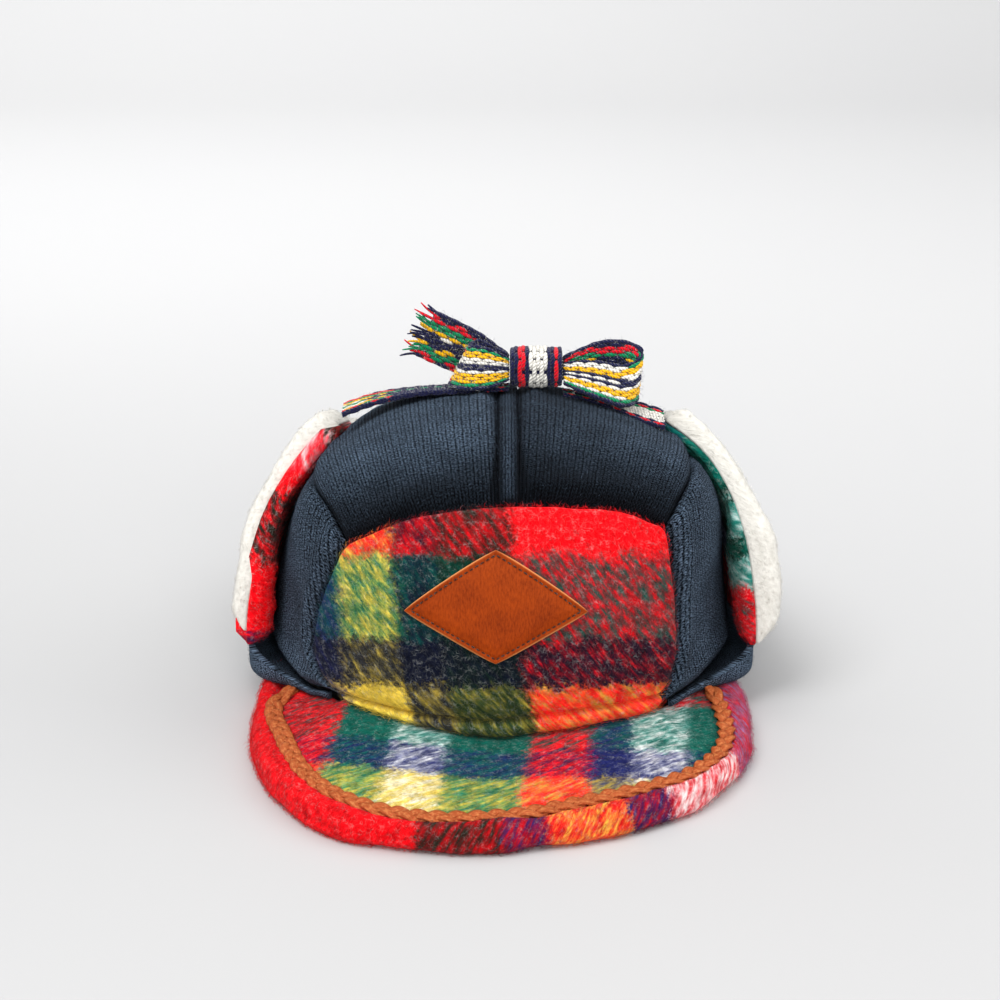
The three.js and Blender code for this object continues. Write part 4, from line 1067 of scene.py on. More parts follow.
def knit_panel(name, at, columns, rows, rib_place, fuzz, seed, offset=0.0, rolls=(4.2, 2.6), lip=2.1):
    """A ribbed panel whose sewn edges roll down into the seams, except under the knot, which presses
    them shut. rib_place gives each point's place across the ribs, and fuzz is the number of fibres."""
    u, v = shares(columns, rows)
    direction = at(u, v)
    skin = crown_point(direction)
    left, right, foot, head = edge_distances(skin)
    cloth = pairs(rib_place(skin, left), foot)
    sewn = rolled(least(left, right, foot, head), *rolls)
    from_knot = np.hypot(skin[..., 0] - KNOT["x"], skin[..., 1] - KNOT["y"])
    sewn = sewn * (1 - 0.75 * ridge(from_knot, 0, 18))
    soft = 0.8 * noise(skin, 24, seed) + 0.16 * noise(skin, 3, seed + 1)
    seam_near = least(left, right, foot)
    puff = 1.6 * smoothstep(seam_near, 0, 13) + lip * ridge(seam_near, 6.5, 4)
    outer = crown_point(direction, offset + soft + puff - sewn + 0.2)
    inner = crown_point(direction, -KNIT_THICKNESS)
    # Painted shade: the knit is painted darker next to its seams, along its foot and over the panel by its
    # own values in the table of painted shade; a value below 0 paints it lighter, as painted light.
    near, far, low = PANEL_PAINTED_SHADE[name]
    shade = 0.65 * (1 - smoothstep(seam_near, 0.3, 3.4)) + low * (1 - smoothstep(foot, 2, 34))
    shade = np.clip(1 - (1 - shade) * (1 - lerp(near, far, smoothstep(left, 5, 75))), -0.5, 0.95)
    wall("knit_" + name, name, NAVY_KNIT, outer, inner, 4, cloth, shade=shade)
    nap("knit_fuzz_" + name, (outer, normals_of(outer, direction), cloth), fuzz, np.random.default_rng(seed),
        NAVY_KNIT, length=1.5, lift=0.6, width=0.08, comb=90, spread=55)


def side_to_top(side):
    over_side = seam(side["crown_seam"], side["sign"])
    down_back = seam(BACK_SEAM, side["sign"])
    share = 2 / 3

    def at(t):
        t = np.asarray(t, float)
        first = over_side(np.minimum(t / share, 1))
        second = down_back(1 - np.clip((t - share) / (1 - share), 0, 1))
        return np.where((t < share)[..., None], first, second)
    return at


def top_panel(side_name):
    side = SIDES[side_name]
    sign = side["sign"]
    tucked = 0.5
    edge_x = STRIP_LEFT + tucked if sign < 0 else STRIP_RIGHT - tucked

    def inner(t):
        return over_top(edge_x, lerp(STRIP_START - 0.2, 180, np.asarray(t, float)))

    ends = inner([0, 1])
    start, finish = np.degrees(np.arctan2(ends[:, 0], -ends[:, 1]))
    at = inset_patch(patch_of(
        left=inner, right=side_to_top(side),
        bottom=lambda w: front_top(lerp(start, sign * side["crown_seam"]["azimuth"][0], w)),
        top=lambda w: heading(lerp(finish, sign * BACK_SEAM["azimuth"][0], w), 0)))

    def rib_place(skin, _):
        """The ribs spread out up the panel and toward the back."""
        height = 0.34 * skin[..., 1] + 0.94 * skin[..., 2]
        return (skin[..., 0] - STRIP_MIDDLE) / (1 + 0.009 * (height - 52))

    knit_panel("top_panel_" + side_name, at, 192, 64, rib_place, 2600, 31 + sign)


def top_seam_strip():
    def at(u, v):
        x = lerp(STRIP_LEFT + SEAM_GAP / 2, STRIP_RIGHT - SEAM_GAP / 2, u)
        return over_top(x, lerp(STRIP_START, 180, v))
    knit_panel("top_seam_strip", at, 24, 120, lambda skin, _: skin[..., 0] - STRIP_MIDDLE, 500, 41,
               offset=STRIP_PROUD, rolls=(2, 2.4), lip=0)


def fold_lift(azimuth):
    lift = TURN_UP_LIFT_LEFT * (1 - smoothstep(-azimuth, FOLD_START, FOLD_START + TURN_UP_LIFT_RUN))
    return np.where(azimuth < 0, lift, 0)


def fold_underside(azimuth):
    from_start = np.maximum(np.abs(azimuth), FOLD_START)
    return np.maximum(value_at(TURN_UP, "underside", from_start), 0) + fold_lift(azimuth)


def side_foot(azimuth):
    over_fold = fold_underside(azimuth) + KNIT_THICKNESS + FOLD_GAP
    on_fold = smoothstep(np.abs(azimuth), FOLD_START - FOLD_RUN_IN, FOLD_START)
    return lerp(front_foot(azimuth), over_fold, on_fold)


def side_panel(side_name):
    side = SIDES[side_name]
    sign = side["sign"]

    def foot(w):
        azimuth = sign * lerp(side["front_seam"]["azimuth"][0], BACK_SEAM["azimuth"][0], w)
        return heading(azimuth, elevation_at(azimuth, side_foot(azimuth)))

    at = inset_patch(patch_of(
        bottom=foot, top=seam(side["crown_seam"], sign),
        left=seam(side["front_seam"], sign), right=seam(BACK_SEAM, sign)))

    def rib_place(skin, left):
        """The ribs lie up to 1.8 times as far apart where the panel turns to the side."""
        around = np.arctan2(sign * skin[..., 0], -skin[..., 1])
        forward = np.abs(np.diff(skin[0, :, 0], prepend=skin[0, 0, 0]))
        drawn = 0.55 * np.diff(left[0], prepend=0)
        return np.interp(around, around[0], np.cumsum(np.maximum(forward, drawn)))

    knit_panel("side_panel_" + side_name, at, 240, 44, rib_place, 2000, 51 + sign)


# ---- Turn-up ----

def flap_value(side, column, elevation, u):
    drawn = lerp(1, FLAP_DRAWN_IN, smoothstep(u, -0.06, FLAP_DRAWN_BY)) if column == "gap" else 1
    own = drawn * value_at(side["flap"], column, elevation)
    back = value_at(FLAP_BACK, column, elevation)
    return lerp(own, back, smoothstep(u, FLAP_BACK_FROM, FLAP_BACK_TO))


def foot_gap(side, azimuth):
    first = FLAP_FRONT_EDGE["azimuth"][0]
    return flap_value(side, "gap", 0, np.clip((azimuth - first) / (180 - first), 0, 1))


def turn_up(side_name):
    """A floor under the crown's edge, a rounded fold, and an outer leg that carries the flap."""
    side = SIDES[side_name]
    sign = side["sign"]
    floor_steps, arc_steps, leg_steps = 3, 8, 5
    middle_of_fold = 8
    last = 180 - FLAP_SEAM_GAP / 2 / HALF_LENGTH * DEGREES
    azimuth = lerp(TURN_UP["azimuth"][0], last, np.linspace(0, 1, 481))
    direction = heading(sign * azimuth, 0)
    foot = crown_point(direction)
    out = unit(direction * [1, 1, 0])
    underside = fold_underside(sign * azimuth)
    reach = (foot_gap(side, azimuth) + WOOL_THICKNESS) * value_at(TURN_UP, "reach", azimuth)
    top = value_at(TURN_UP, "top", azimuth) + fold_lift(sign * azimuth) - FACE_GAP
    radius = least(TURN_UP_CORNER, reach + KNIT_THICKNESS - 0.5, top - underside - 0.3)

    def face(thickness):
        turn = np.maximum(radius - thickness, 0.05)
        columns = [(lerp(-KNIT_THICKNESS, reach - radius, k / floor_steps), underside + thickness)
                   for k in range(floor_steps)]
        for k in range(arc_steps + 1):
            a = math.pi / 2 * k / arc_steps
            columns.append((reach - radius + turn * math.sin(a), underside + radius - turn * math.cos(a)))
        columns += [(reach - thickness, lerp(underside + radius, top, k / leg_steps))
                    for k in range(1, leg_steps + 1)]
        grid = [np.concatenate([(foot + d[:, None] * out)[:, :2], h[:, None]], axis=1) for d, h in columns]
        return np.stack(grid, axis=1)

    outer, inner = face(0), face(KNIT_THICKNESS)
    across, along = spans(outer)
    cloth = pairs(along[:, [middle_of_fold]], across)
    normal = normals_of(outer, out[:, None] - [0, 0, 0.3])
    relief = 0.35 * noise(outer, 14, 61)
    outer = outer + normal * (relief * smoothstep(across, 1, 4))[..., None]
    outer[..., 2] = np.maximum(outer[..., 2], 0)
    name = "turn_up_" + side_name
    # The turn-up's knit is painted lighter all over: painted light.
    wall("knit_" + name, name, NAVY_KNIT, outer, inner, 4, cloth,
         shade=np.full(across.shape, TURN_UP_PAINTED_SHADE))
    nap("knit_fuzz_" + name, (outer, normal, cloth), 1500, np.random.default_rng(63 + sign),
        NAVY_KNIT, length=1.3, lift=0.55, width=0.11, comb=0, spread=55)


# ---- Flaps ----

def flap_patch(side, foot):
    sign = side["sign"]

    def foot_at(azimuth):
        return heading(sign * azimuth, elevation_at(sign * azimuth, foot, foot_gap(side, azimuth)))

    first = FLAP_FRONT_EDGE["azimuth"][0]
    back_top = FLAP_TOP_EDGE["elevation"][-1]
    back_foot = elevation_at(180.0, foot, foot_gap(side, 180.0))
    return inset_patch(patch_of(
        bottom=lambda w: foot_at(lerp(first, 180, w)),
        top=seam(FLAP_TOP_EDGE, sign), left=seam(FLAP_FRONT_EDGE, sign),
        right=lambda w: heading(180, lerp(back_foot, back_top, w))), FLAP_SEAM_GAP)


def flap_gap(side, direction, u):
    elevation = np.degrees(np.arcsin(direction[..., 2]))
    return np.maximum(flap_value(side, "gap", elevation, u), FLAP_LEAST_GAP)


def bead(points, thickness, radius):
    """How much thicker the wool is where its front edge is turned in to a soft round bead."""
    across, along = spans(points)
    from_end = np.minimum(along, along[-1:] - along)
    round_edge = rounding(across, radius) * np.sqrt(smoothstep(from_end, -0.5, 5))
    return thickness * round_edge * (1 - smoothstep(across, 1.5 * radius, 4 * radius))


def flap_wool(side_name, material):
    """The wool face of a flap, towards the crown, with its front edge turned in to a bead."""
    side = SIDES[side_name]
    w, v = shares(150, 80)
    u = lerp(w, w * w, 0.55)
    direction = flap_patch(side, FLAP_FOOT)(u, v)
    gap = flap_gap(side, direction, u)
    skin = crown_point(direction, gap)
    across, _ = spans(skin)
    outward, inward = FLAP_BEAD[side_name]
    swollen = bead(skin, np.clip(gap - 6, 0, inward), 5)
    lumps = (0.3 + 0.12 * swollen) * noise(skin, 9, 71) + 0.08 * swollen * noise(skin, 3.5, 72)
    inner = crown_point(direction, gap - swollen + lumps)
    thick = WOOL_THICKNESS + bead(skin, outward, 4)
    outer = crown_point(direction, gap + thick)
    cloth = pairs(spans(inner)[0], skin[..., 2])
    turned = pairs(-thick - across, skin[..., 2])
    name = "flap_wool_" + side_name
    piece = wall("plaid_" + name, name, material, inner, outer, 5, cloth, turned)
    measured_sheet(inner)
    toward_front = 1 - 0.97 * smoothstep(across, 10, 26)
    nap("plaid_nap_" + name, (inner, normals_of(inner, -direction), cloth), 4200,
        np.random.default_rng(73 + side["sign"]), material, length=2.6, lift=1.1, width=0.1,
        comb=0, spread=70, weight=toward_front)


def measured_sheet(face):
    """Measures a face across and along, and keeps nothing."""
    across, along = spans(face)


def flap_fleece(side_name):
    """The deep pile on the outside of a flap, rounded over at its edges."""
    side = SIDES[side_name]
    u, v = crowded(shares(170, 75), 0.55)
    patch = flap_patch(side, FLEECE_FOOT)
    foot = FLEECE_CORNER_RISE[side_name] * (1 - smoothstep(u, 0, 0.2))
    v = lerp(foot, 1, v)
    set_back = FLEECE_SET_BACK[side_name] * smoothstep(v, 0.3, 0.8)
    u = lerp(set_back, 1, u)
    direction = patch(u, v)
    here = crown_point(direction)
    edge = 1
    for a, b in ((set_back, v), (u, 1 + 0 * u), (u, foot)):
        away = np.linalg.norm(here - crown_point(patch(a, b)), axis=-1)
        edge = edge * rounding(away, FLEECE_EDGE_ROUND)
    from_seam = np.linalg.norm(here - crown_point(patch(1 + 0 * u, v)), axis=-1)
    edge = edge * (1 - rolled(from_seam, *FLEECE_BACK_VALLEY))
    elevation = np.degrees(np.arcsin(direction[..., 2]))
    pile = lerp(FLEECE_EDGE_PILE, flap_value(side, "fleece", elevation, u), edge)
    roll = bead(here, FLAP_BEAD[side_name][0], 4)
    base = flap_gap(side, direction, u) + WOOL_THICKNESS + 0.3 + roll
    skin = crown_point(direction, base + np.maximum(pile - 0.6 * roll, FLEECE_EDGE_PILE * edge))
    normal = normals_of(skin, direction)
    curl = 0.4 * noise(skin, 5.5, 81) + 0.2 * noise(skin, 2.6, 82) + 1.0 * noise(skin, 17, 83) - 0.6
    outer = skin + normal * (curl * smoothstep(pile, 1, 4) * np.minimum(edge + 0.3, 1))[..., None]
    inner = crown_point(direction, base)
    cloth = pairs(*spans(skin))
    name = "flap_fleece_" + side_name
    piece = wall("sherpa_" + name, name, FLEECE, outer, inner, 5, cloth)
    measured_sheet(inner)
    nap("sherpa_tufts_" + name, (outer, normals_of(outer, direction), cloth), 6000,
        np.random.default_rng(85 + side["sign"]), FLEECE, length=1.7, lift=0.8, width=0.15,
        comb=0, spread=180)


# ---- Peak ----

def peak_outline(s):
    a = np.radians(PEAK_SWEEP * s)
    radius = ((np.abs(np.sin(a)) / PEAK_HALF_WIDTH) ** PEAK_POWER
              + (np.abs(np.cos(a)) / PEAK_DEPTH) ** PEAK_POWER) ** (-1 / PEAK_POWER)
    full = radius + value_at(PEAK_FULLNESS, "rise", s)
    narrowed = 1 - PEAK_BACK_NARROWING * smoothstep(np.abs(s), 0.65, 1)
    return np.stack([narrowed * full * np.sin(a), PEAK_CENTRE_Y - full * np.cos(a), 0 * a], axis=-1)


def peak_seat(s):
    azimuth = PEAK_SEAT_SWEEP * s
    seat = crown_point(heading(azimuth, 0), -PEAK_TUCK)
    before_fold = FOLD_START - 1.5
    on_fold = smoothstep(np.abs(azimuth), before_fold - FOLD_RUN_IN, before_fold)
    seat[..., 2] = lerp(front_foot(azimuth), fold_underside(azimuth), on_fold) - FACE_GAP
    return seat


def peak_depth(s):
    return np.linalg.norm((peak_seat(s) - peak_outline(s))[..., :2], axis=-1)


def peak_face(s, distance, upper=True):
    """A point on the peak's upper or lower face, at a distance in from its edge."""
    seat, depth = peak_seat(s), peak_depth(s)
    point = lerp(peak_outline(s), seat * [1, 1, 0], (distance / depth)[..., None])
    dip = np.maximum(PEAK_EDGE - np.minimum(distance, PEAK_EDGE), 0)
    swell = np.sqrt(np.maximum(PEAK_EDGE ** 2 - dip ** 2, 0))
    rise = (seat[..., 2] - 2 * PEAK_EDGE) * np.clip((distance - PEAK_EDGE) / (depth - PEAK_EDGE), 0, 1)
    point[..., 2] = PEAK_EDGE + swell + rise if upper else PEAK_EDGE - swell
    return point


def peak():
    """A padded peak: a rolled edge outside the braid, a flatter field inside it, and a flat underside."""
    steps = 300
    s = np.linspace(-1, 1, steps + 1)[:, None]
    depth = peak_depth(s)
    nose = PEAK_EDGE * (1 - np.cos(np.linspace(0, np.pi / 2, 11))) + 0 * s
    top_in = np.concatenate([lerp(PEAK_EDGE, depth, np.linspace(1, 0, 47)[:-1]), nose[:, ::-1]], axis=1)
    low_in = np.concatenate([nose[:, 1:], lerp(PEAK_EDGE, depth, np.linspace(0, 1, 15)[1:])], axis=1)
    ring = np.concatenate([peak_face(s, top_in), peak_face(s, low_in, upper=False)], axis=1)
    from_edge = np.concatenate([top_in, low_in], axis=1)
    from_seat = depth - from_edge
    tops, count = top_in.shape[1], ring.shape[1]
    # How many columns of the underside are still the roll's, for its cloth and for its nap.
    cloth_under, nap_under = 9, 12
    column = np.arange(count)[None]
    is_top = column < tops
    normal = normals_of(ring, ring - ring.mean(axis=1, keepdims=True))
    inset = value_at(BRAID_INSET, "inset", s)
    past_braid = from_edge - inset
    in_roll = np.clip(from_edge / inset, 0, 1)
    plump = np.where(is_top, 1.9 * np.sin(np.pi * in_roll) ** 0.8, 0.5 * (1 - in_roll))
    groove = -0.9 * ridge(from_edge, inset, 2.2) * is_top
    field = 0.7 * smoothstep(past_braid, 2, 14) * smoothstep(from_seat, 2, 10) * is_top
    lumps = 1.1 * noise(ring, 13, 91) * (1 - smoothstep(past_braid, -3, 2))
    soft = 0.28 * noise(ring, 6, 92) * is_top
    relief = plump + groove + field + lumps + soft
    sewn = smoothstep(from_seat, 0, 4) * smoothstep(1 - np.abs(s), 0, 0.02)
    ring = ring + normal * (relief * sewn)[..., None]
    ring[..., 2] = np.maximum(ring[..., 2], 0)

    # The field's plaid lies square to the cap, a little skewed; the roll's follows the edge.
    x, y = ring[..., 0], ring[..., 1]
    cut = 0.08 + 0.003 * np.clip(-x - 35, 0, 40)
    bowed = 0.0015 * np.minimum(x, 0) ** 2 + 0.12 * np.maximum(x, 0)
    field_cloth = pairs(x - cut * (y + HALF_LENGTH), bowed - y - 0.07 * x)
    arc = length_along(peak_outline(s))
    around, _ = spans(ring)
    roll_cloth = pairs(arc - arc[steps // 2], around - around[:, [tops - 1]])

    first = np.arange(steps) * count
    last = first + count - 1
    closing = np.stack([last, first, first + count, last + count], axis=-1)
    ends = [np.arange(count)[None], np.arange(count)[None, ::-1] + steps * count]
    faces = flipped_out(ring.reshape(-1, 3), [grid_quads(steps + 1, count), closing] + ends)
    middle_distance = (from_edge[:-1, :-1] + from_edge[1:, 1:]) / 2
    on_roll = ((middle_distance < inset[:-1]) & (column[:, :-1] < tops + cloth_under)).ravel()
    number = np.concatenate([on_roll.astype(int), np.zeros(steps + len(ends), int)])
    cloth = field_cloth.reshape(-1, 2)[corners_of(faces)]
    grid_corners = faces[0].size
    on_field = cloth[:grid_corners]
    on_edge = roll_cloth.reshape(-1, 2)[faces[0].ravel()]
    cloth[:grid_corners] = np.where(np.repeat(on_roll, 4)[:, None], on_edge, on_field)
    piece = build("padded_peak", ring.reshape(-1, 3), faces, [PEAK_PLAID, ROLL_PLAID], cloth,
                  number)
    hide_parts("peak")
    rng = np.random.default_rng(95)
    shown = smoothstep(past_braid, 2.5, 3.5) * is_top * (from_seat > 4)
    nap("peak_top_nap", (ring, normal, field_cloth), 12000, rng, PEAK_PLAID, length=3, lift=0.8,
        width=0.09, comb=45, spread=55, weight=shown)
    shown = smoothstep(-past_braid, 2.5, 3.5) * (column < tops + nap_under)
    nap("peak_edge_nap", (ring, normal, roll_cloth), 9500, rng, ROLL_PLAID, length=2.4,
        lift=1.1, width=0.09, comb=30, spread=80, weight=shown)


def peak_braid():
    """Three flat leather strands plaited along the inside of the peak's rolled edge."""
    def place(s):
        return peak_face(s, value_at(BRAID_INSET, "inset", s))

    dense = np.linspace(BRAID_FROM, BRAID_TO, 1500)
    length = length_along(place(dense))
    along = np.linspace(0, length[-1], int(length[-1] / BRAID_PERIOD * 26))
    middle = place(np.interp(along, length, dense))
    # Both ends turn in toward the crown and rise a little.
    for from_end, sideways in ((along, 6.5), (along[-1] - along, -3)):
        away = np.maximum(1 - from_end / 9, 0)[:, None] ** 1.6
        middle = middle + away * np.array([sideways, 5.5, 1.2])
    run = unit(np.gradient(middle, axis=0))
    up = unit(np.array([0, 0, 1]) - run * run[:, 2:])
    across = np.cross(up, run)
    taper = np.minimum(1, 0.35 + least(along, along[-1] - along) / 3)
    parts = []
    for strand in range(3):
        turn = 2 * np.pi * along / BRAID_PERIOD + strand * 2 * np.pi / 3
        swing = 1.7 * np.sin(turn)
        lift = 1.2 + 0.85 * np.sin(2 * turn)
        path = middle + swing[:, None] * across + lift[:, None] * up
        width = 1.85 * taper * (1 + 0.06 * noise(path, 6, 97 + strand))
        parts.append(cords(path[None], width[None], 8, up, flat=0.48) + (0,))
    corded("plaited_leather_trim", "peak_braid", [BRAID_LEATHER], parts)


# ---- Patch ----

def patch_frame():
    """The direction of the patch's middle, its sideways and upward directions, and the crown's radius."""
    centre = heading(PATCH["azimuth"], PATCH["elevation"])
    right = unit(np.cross([0, 0, 1], centre))
    return centre, right, unit(np.cross(centre, right)), crown_radius(centre)


def on_patch(x, z, offset):
    centre, right, up, radius = patch_frame()
    direction = unit(centre + right * (x / radius)[..., None] + up * (z / radius)[..., None])
    return crown_point(direction, offset)


def patch():
    """A leather diamond with a row of stitches pressed in round its edge."""
    wide, high = PATCH["half_width"], PATCH["half_height"]
    p, q = 2 * crowded(shares(64, 64), 0.45) - 1
    blunt = 1 - PATCH["corner"] * (np.abs(p) * np.abs(q)) ** 6
    x = (p - q) / 2 * wide * blunt
    z = (p + q) / 2 * high * blunt
    to_edge = wide * high / math.hypot(wide, high)
    inward = to_edge * (1 - np.abs(x) / wide - np.abs(z) / high)
    flat = pairs(x, z, 0.0)
    wobble = 0.12 * noise(flat, 7, 101)
    groove = -0.42 * ridge(inward, STITCH_INSET - wobble, 0.45)
    edge = -0.5 * (1 - smoothstep(inward, 0, 0.7))
    pillow = 0.45 * smoothstep(inward, 2.2, 6) + 0.1 * noise(flat, 9, 102)
    rough = 0.05 * noise(flat / [1, 3, 1], 0.9, 103)
    back = FRONT_PROUD + FACE_GAP + 0.7
    face = back + PATCH["thickness"]
    outer = on_patch(x, z, face + groove + edge + pillow + rough)
    inner = on_patch(x, z, back + 0 * x)
    wall("leather_diamond", "patch", PATCH_LEATHER, outer, inner, 4, pairs(x, z))

    corners = [(1, 0), (0, 1), (-1, 0), (0, -1), (1, 0)]
    shrink = 1 - STITCH_INSET / to_edge
    along_stitch = np.array([-0.36, -0.2, 0, 0.2, 0.36])
    arch = np.array([-0.4, -0.02, 0.08, -0.02, -0.4])
    paths = []
    for (ax, az), (bx, bz) in zip(corners, corners[1:]):
        for k in range(STITCHES_A_SIDE):
            share = (k + 0.5) / STITCHES_A_SIDE + along_stitch / STITCHES_A_SIDE
            px, pz = lerp(ax, bx, share) * wide * shrink, lerp(az, bz, share) * high * shrink
            paths.append(on_patch(px, pz, face - 0.2 + arch))
    radii = np.broadcast_to([0.12, 0.24, 0.27, 0.24, 0.12], (len(paths), 5))
    points, faces, places = cords(np.array(paths), radii, 6, patch_frame()[0])
    build("diamond_stitches", points, faces, [STITCH_THREAD], places)


# ---- Woven tape ----

LETTERS = "nrgyw"
# The tape's yarns along its length, side by side across it.
ENDS = 14
END_SHARES = (np.arange(ENDS) + 0.5) / ENDS * 2 - 1
FLOAT_LENGTH = 5.2
TAPE_HALF = 0.35
YARN_FLATNESS = 0.62
FLOAT_TAPER = np.array([0.45, 0.9, 1, 1, 0.9, 0.45])
FRINGE_TAPER = np.array([1, 1, 1.05, 1, 0.85, 0.55])
KNOT_YARN_RADII = np.array([0.4, 0.75, 0.85, 0.88, 0.88, 0.88, 0.85, 0.75, 0.4])

# Each pattern is the colours of the tape's yarns over one stretch of it, from edge to edge.
PLAIN = "nnrrgnnnnnggrn"
DASHED = "nrrggynnnyggrn"
FLECKED = "nnrggywnnnyggr"
WHITE = "nnrgwwwwwwwnrn"
YELLOW = "ngyywwnnwyyygn"
PALE = "nwwyynwnwyywgn"
BRIGHT = "rrgyywggwwyrnn"
DARK = "nnnnngnnnnnnnn"
KNOT_STRIPES = "nnrrnwwwwwnnrn"


def along_line(at, length, points):
    """Points at given lengths along a line."""
    return np.stack([np.interp(at, length, column) for column in points.T], -1)


def tape_line(rows):
    """The tape's length, centre line, half width across it and normal, evenly along it."""
    count = 400
    rows = np.array(rows, float)
    t = np.linspace(0, 1, count)
    middle = smooth_curve(rows[:, :3])(t)
    across = smooth_curve(unit(rows[:, 3:6]) * rows[:, 6:] / 2)(t)
    length = length_along(middle)
    even = np.linspace(0, length[-1], count)
    middle, across = along_line(even, length, middle), along_line(even, length, across)
    return even, middle, across, unit(np.cross(np.gradient(middle, axis=0), across))


def coloured_cords(strands, sides, flat=1.0):
    """Cords sorted by colour. Each strand is (letter of its colour, path, radii, direction upward)."""
    made = []
    for number, letter in enumerate(LETTERS):
        own = [strand[1:] for strand in strands if strand[0] == letter]
        if own:
            paths, radii, ups = (np.array(column) for column in zip(*own))
            made.append(cords(paths, radii, sides, ups, flat) + (number,))
    return made


def floats(line, chart):
    """Yarns that float over the tape on both faces. chart gives the patterns along its length."""
    length, middle, across, normal = line
    count = int(length[-1] / FLOAT_LENGTH)
    pitch = length[-1] / count
    half_width = np.linalg.norm(across, axis=1)
    rise = TAPE_HALF + 0.38 * np.sin(np.linspace(0.1, math.pi - 0.1, 6)) ** 0.6 - 0.12
    strands = []
    for end, share in enumerate(END_SHARES):
        shift = 0.5 * (end % 2)
        for k in range(-1 if shift else 0, count):
            start, stop = (k + shift + 0.03) * pitch, (k + shift + 0.99) * pitch
            at = np.clip(np.linspace(start, stop, 6), 0, length[-1])
            if at[-1] - at[0] < 1:
                continue
            letter = chart[min(max(k, 0), count - 1) * len(chart) // count][end]
            level = along_line(at, length, middle - across * share)
            out = along_line(at, length, normal)
            radius = np.interp(at, length, half_width) / ENDS * 1.2 * FLOAT_TAPER
            for face in (1, -1):
                strands.append((letter, level + face * rise[:, None] * out, radius, face * out))
    return coloured_cords(strands, 5, YARN_FLATNESS)


def tape_core(line, steps):
    """The tape's ground cloth, under the floating yarns, with the grid of its middle and its normals."""
    picked = np.linspace(0, len(line[0]) - 1, steps + 1).round().astype(int)
    length, middle, across, normal = (values[picked][:, None] for values in line)
    share = np.linspace(-1, 1, 9)[None, :, None]
    flat = middle + across * share
    edge = np.sqrt(1 - 0.75 * np.abs(share) ** 4)
    upper, lower = (flat + normal * side * TAPE_HALF * edge for side in (1, -1))
    points, faces = shell(upper, lower, 1)
    cloth = on_both_faces(pairs(np.linalg.norm(across, axis=-1) * share[..., 0], length), 1)
    return (points, faces, cloth[corners_of(faces)], 0), flat, normal


def frayed(line, pattern, rng):
    """Loose yarn ends past the cut end of a tape."""
    _, middle, across, normal = line
    run = unit(middle[-1] - middle[-20])
    t = np.linspace(0, 1, 6)[:, None]
    tucked = 1.5
    strands = []
    for letter, share in zip(pattern, END_SHARES):
        for _ in range(2):
            root = middle[-1] - across[-1] * (share + rng.normal(0, 0.03)) - run * tucked
            reach = FRINGE_LENGTH * rng.uniform(0.55, 1.25)
            lean = -unit(across[-1]) * rng.normal(0.25 * share, 0.16) + normal[-1] * rng.normal(0, 0.22)
            curl = rng.normal(0, 0.9, 3)
            path = root + run * t * (reach + tucked) + lean * reach * t ** 1.6 + curl * t * t * (1 - 0.3 * t)
            radius = rng.uniform(0.36, 0.52) * FRINGE_TAPER
            strands.append((letter, path, radius, np.broadcast_to(normal[-1], path.shape)))
    return coloured_cords(strands, 4)


def tape_piece(name, rows, chart, steps, fray=None):
    line = tape_line(rows)
    core, flat, outward = tape_core(line, steps)
    parts = [core] + floats(line, chart)
    if fray is not None:
        parts += frayed(line, chart[-1], np.random.default_rng(fray))
    corded("woven_" + name, name, list(YARNS.values()), parts)
    rng = np.random.default_rng(len(name) + steps)
    normal = normals_of(flat, outward)
    for side, colour in ((1, "navy"), (-1, "white")):
        nap("loose_%s_fibres_%s" % (colour, name), (flat, side * normal, pairs(*spans(flat))), 320, rng,
            YARNS[colour[0]], length=2.4, lift=2.2, width=0.08, comb=90, spread=80)


def tie_rows(rows):
    """Sections of a tie with its height worked out from the crown under it."""
    return [(x, y, float(crown_height(x, y)) + lift, 0, 1, slope, width) for x, y, lift, slope, width in rows]


def bow_knot():
    """The wrap of tape round the bow's middle: yarns run round it, in stripes along its length."""
    def middle_at(position):
        return [KNOT["x"] + position * KNOT["length"] / 2, KNOT["y"], KNOT["z"]]

    def section(position, turn, grow):
        swell = 1 - 0.1 * np.abs(position) ** 3 - 0.05 * ridge(position, 0.55, 0.16)
        x, y, z = middle_at(position)
        reach = [np.sign(way) * np.abs(way) ** (2 / KNOT["power"]) * (swell * KNOT[size] / 2 + grow)
                 for way, size in ((np.cos(turn), "depth"), (np.sin(turn), "height"))]
        return pairs(x, y + reach[0], z + reach[1])

    around = 2 * np.pi * np.arange(48) / 48
    core = section(np.linspace(-1, 1, 41)[:, None], around[None], -0.55)
    faces = flipped_out(core.reshape(-1, 3), rings(core))
    cloth = pairs(core[..., 0], 8 * around[None]).reshape(-1, 2)
    rise = 0.1 + 0.45 * np.sin(np.linspace(0.1, math.pi - 0.1, 9)) ** 0.5
    turns_round = 5
    strands = []
    for end, (letter, share) in enumerate(zip(KNOT_STRIPES, END_SHARES)):
        for k in range(turns_round):
            start = 2 * np.pi * (k + 0.5 * (end % 2)) / turns_round + 0.06
            turn = np.linspace(start, start + 2 * np.pi / turns_round - 0.1, 9)
            path = section(np.full(9, share * 0.97), turn, rise - 0.45)
            strands.append((letter, path, KNOT_YARN_RADII, unit(path - middle_at(share))))
    wrap = [(core.reshape(-1, 3), faces, cloth[corners_of(faces)], 0)]
    corded("woven_bow_knot", "bow_knot", list(YARNS.values()),
           wrap + coloured_cords(strands, 6, YARN_FLATNESS))


# ---- The cap ----

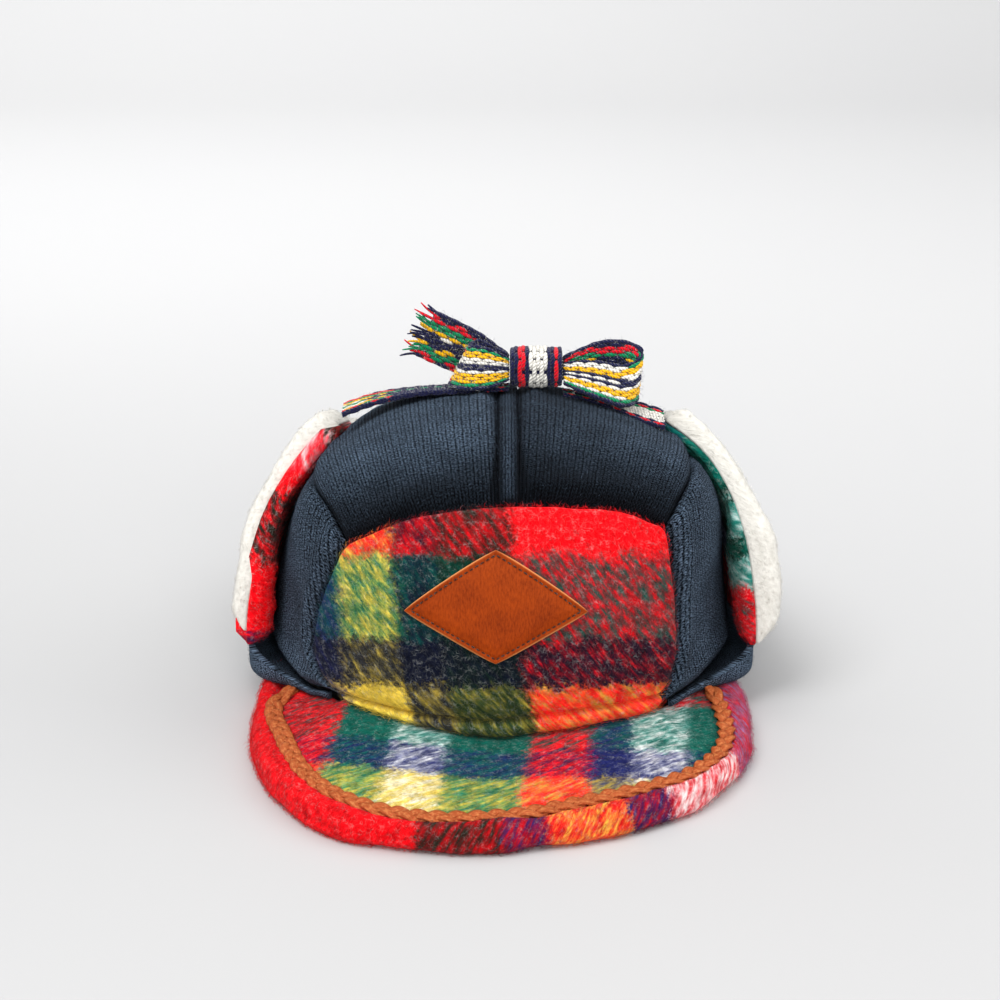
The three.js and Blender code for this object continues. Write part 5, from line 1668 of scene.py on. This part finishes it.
front_panel()
top_seam_strip()
for side_name, flap_plaid in (("left", FLAP_PLAID_LEFT), ("right", FLAP_PLAID_RIGHT)):
    top_panel(side_name)
    side_panel(side_name)
    turn_up(side_name)
    flap_wool(side_name, flap_plaid)
    flap_fleece(side_name)
peak()
peak_braid()
patch()
tape_piece("tie_left", tie_rows(TIE_LEFT), [PLAIN, DARK, DARK, DASHED, BRIGHT], 40)
tape_piece("tie_right", tie_rows(TIE_RIGHT), [PLAIN, WHITE, WHITE, WHITE], 30)
tape_piece("bow_loop_left", LOOP_LEFT, [YELLOW, YELLOW, WHITE, PLAIN, WHITE], 44)
tape_piece("bow_loop_right", LOOP_RIGHT, [PALE, PALE, YELLOW, DASHED, PLAIN, DASHED, PLAIN], 60)
tape_piece("bow_tail_left", TAIL_LEFT, [WHITE, FLECKED, DASHED, FLECKED, DASHED], 30, fray=111)
tape_piece("bow_tail_right", TAIL_RIGHT, [WHITE, PLAIN, DASHED, PLAIN, DASHED], 34, fray=112)
bow_knot()


# ---- Studio ----

def studio_sweep():
    """A pale floor that curves up into a backdrop."""
    bend_from, bend, steps = 1.3, 0.9, 16
    profile = [(-2.6, 0), (bend_from, 0)]
    for k in range(1, steps + 1):
        a = math.pi / 2 * k / steps
        profile.append((bend_from + bend * math.sin(a), bend - bend * math.cos(a)))
    profile.append((bend_from + bend, 3.6))
    columns = np.linspace(-3, 3, 7)
    grid = np.array([[(x, y, z) for x in columns] for y, z in profile])
    mesh = bpy.data.meshes.new("studio_sweep")
    mesh.from_pydata(grid.reshape(-1, 3).tolist(), [], grid_quads(*grid.shape[:2]).tolist())
    mesh.polygons.foreach_set("use_smooth", np.ones(len(mesh.polygons), bool))
    sweep = bpy.data.objects.new("studio_sweep", mesh)
    bpy.context.scene.collection.objects.link(sweep)

    def paper(s):
        place = s.add("TexCoord").outputs["Object"]
        return {"Base Color": s.blend(s.cloud(place, 2.0), paint("bcbcbd"), paint("bfbfbf"))}
    mesh.materials.append(finish_of("studio_paper", paper, Roughness=0.9, Specular_IOR_Level=0.2))


def lamp(name, place, aim, size, power):
    light = bpy.data.lights.new(name, "AREA")
    light.shape = "DISK"
    light.size = size
    light.energy = power
    lamp_object = bpy.data.objects.new(name, light)
    lamp_object.location = place
    toward = np.array(aim) - np.array(place)
    level = math.hypot(toward[0], toward[1])
    lamp_object.rotation_euler = (math.atan2(level, -toward[2]), 0, math.atan2(-toward[0], toward[1]))
    bpy.context.scene.collection.objects.link(lamp_object)


studio_sweep()
lamp("key_softbox", (-0.6, -0.6, 1.65), (0, 0, 0.06), 1.1, 15.5)
lamp("side_softbox", (1.1, 0.15, 1.2), (0.12, 0.05, 0.02), 1.2, 4.6)
lamp("front_softbox", (0.25, -1.7, 0.7), (0, 0, 0.06), 1.0, 12)
lamp("backdrop_softbox", (-0.5, 0.6, 1.3), (0.1, 2.2, 0.7), 1.2, 18.5)
world = bpy.data.worlds.new("studio_air")
world.use_nodes = True
background = world.node_tree.nodes["Background"].inputs
background["Color"].default_value = (1, 1, 1, 1)
background["Strength"].default_value = 0.74
scene = bpy.context.scene
scene.world = world
scene.view_settings.view_transform = "Standard"
scene.view_settings.look = "Medium High Contrast"

CAMERA_PLACE, CAMERA_DOWN = (0, -809, 362), 20
camera = bpy.data.cameras.new("studio_camera")
camera.lens = 79.2
camera.sensor_width = 36
camera_object = bpy.data.objects.new("studio_camera", camera)
camera_object.location = ORIGIN + MM * np.array(CAMERA_PLACE)
camera_object.rotation_euler = (math.radians(90 - CAMERA_DOWN), 0, 0)
scene.collection.objects.link(camera_object)
scene.camera = camera_object
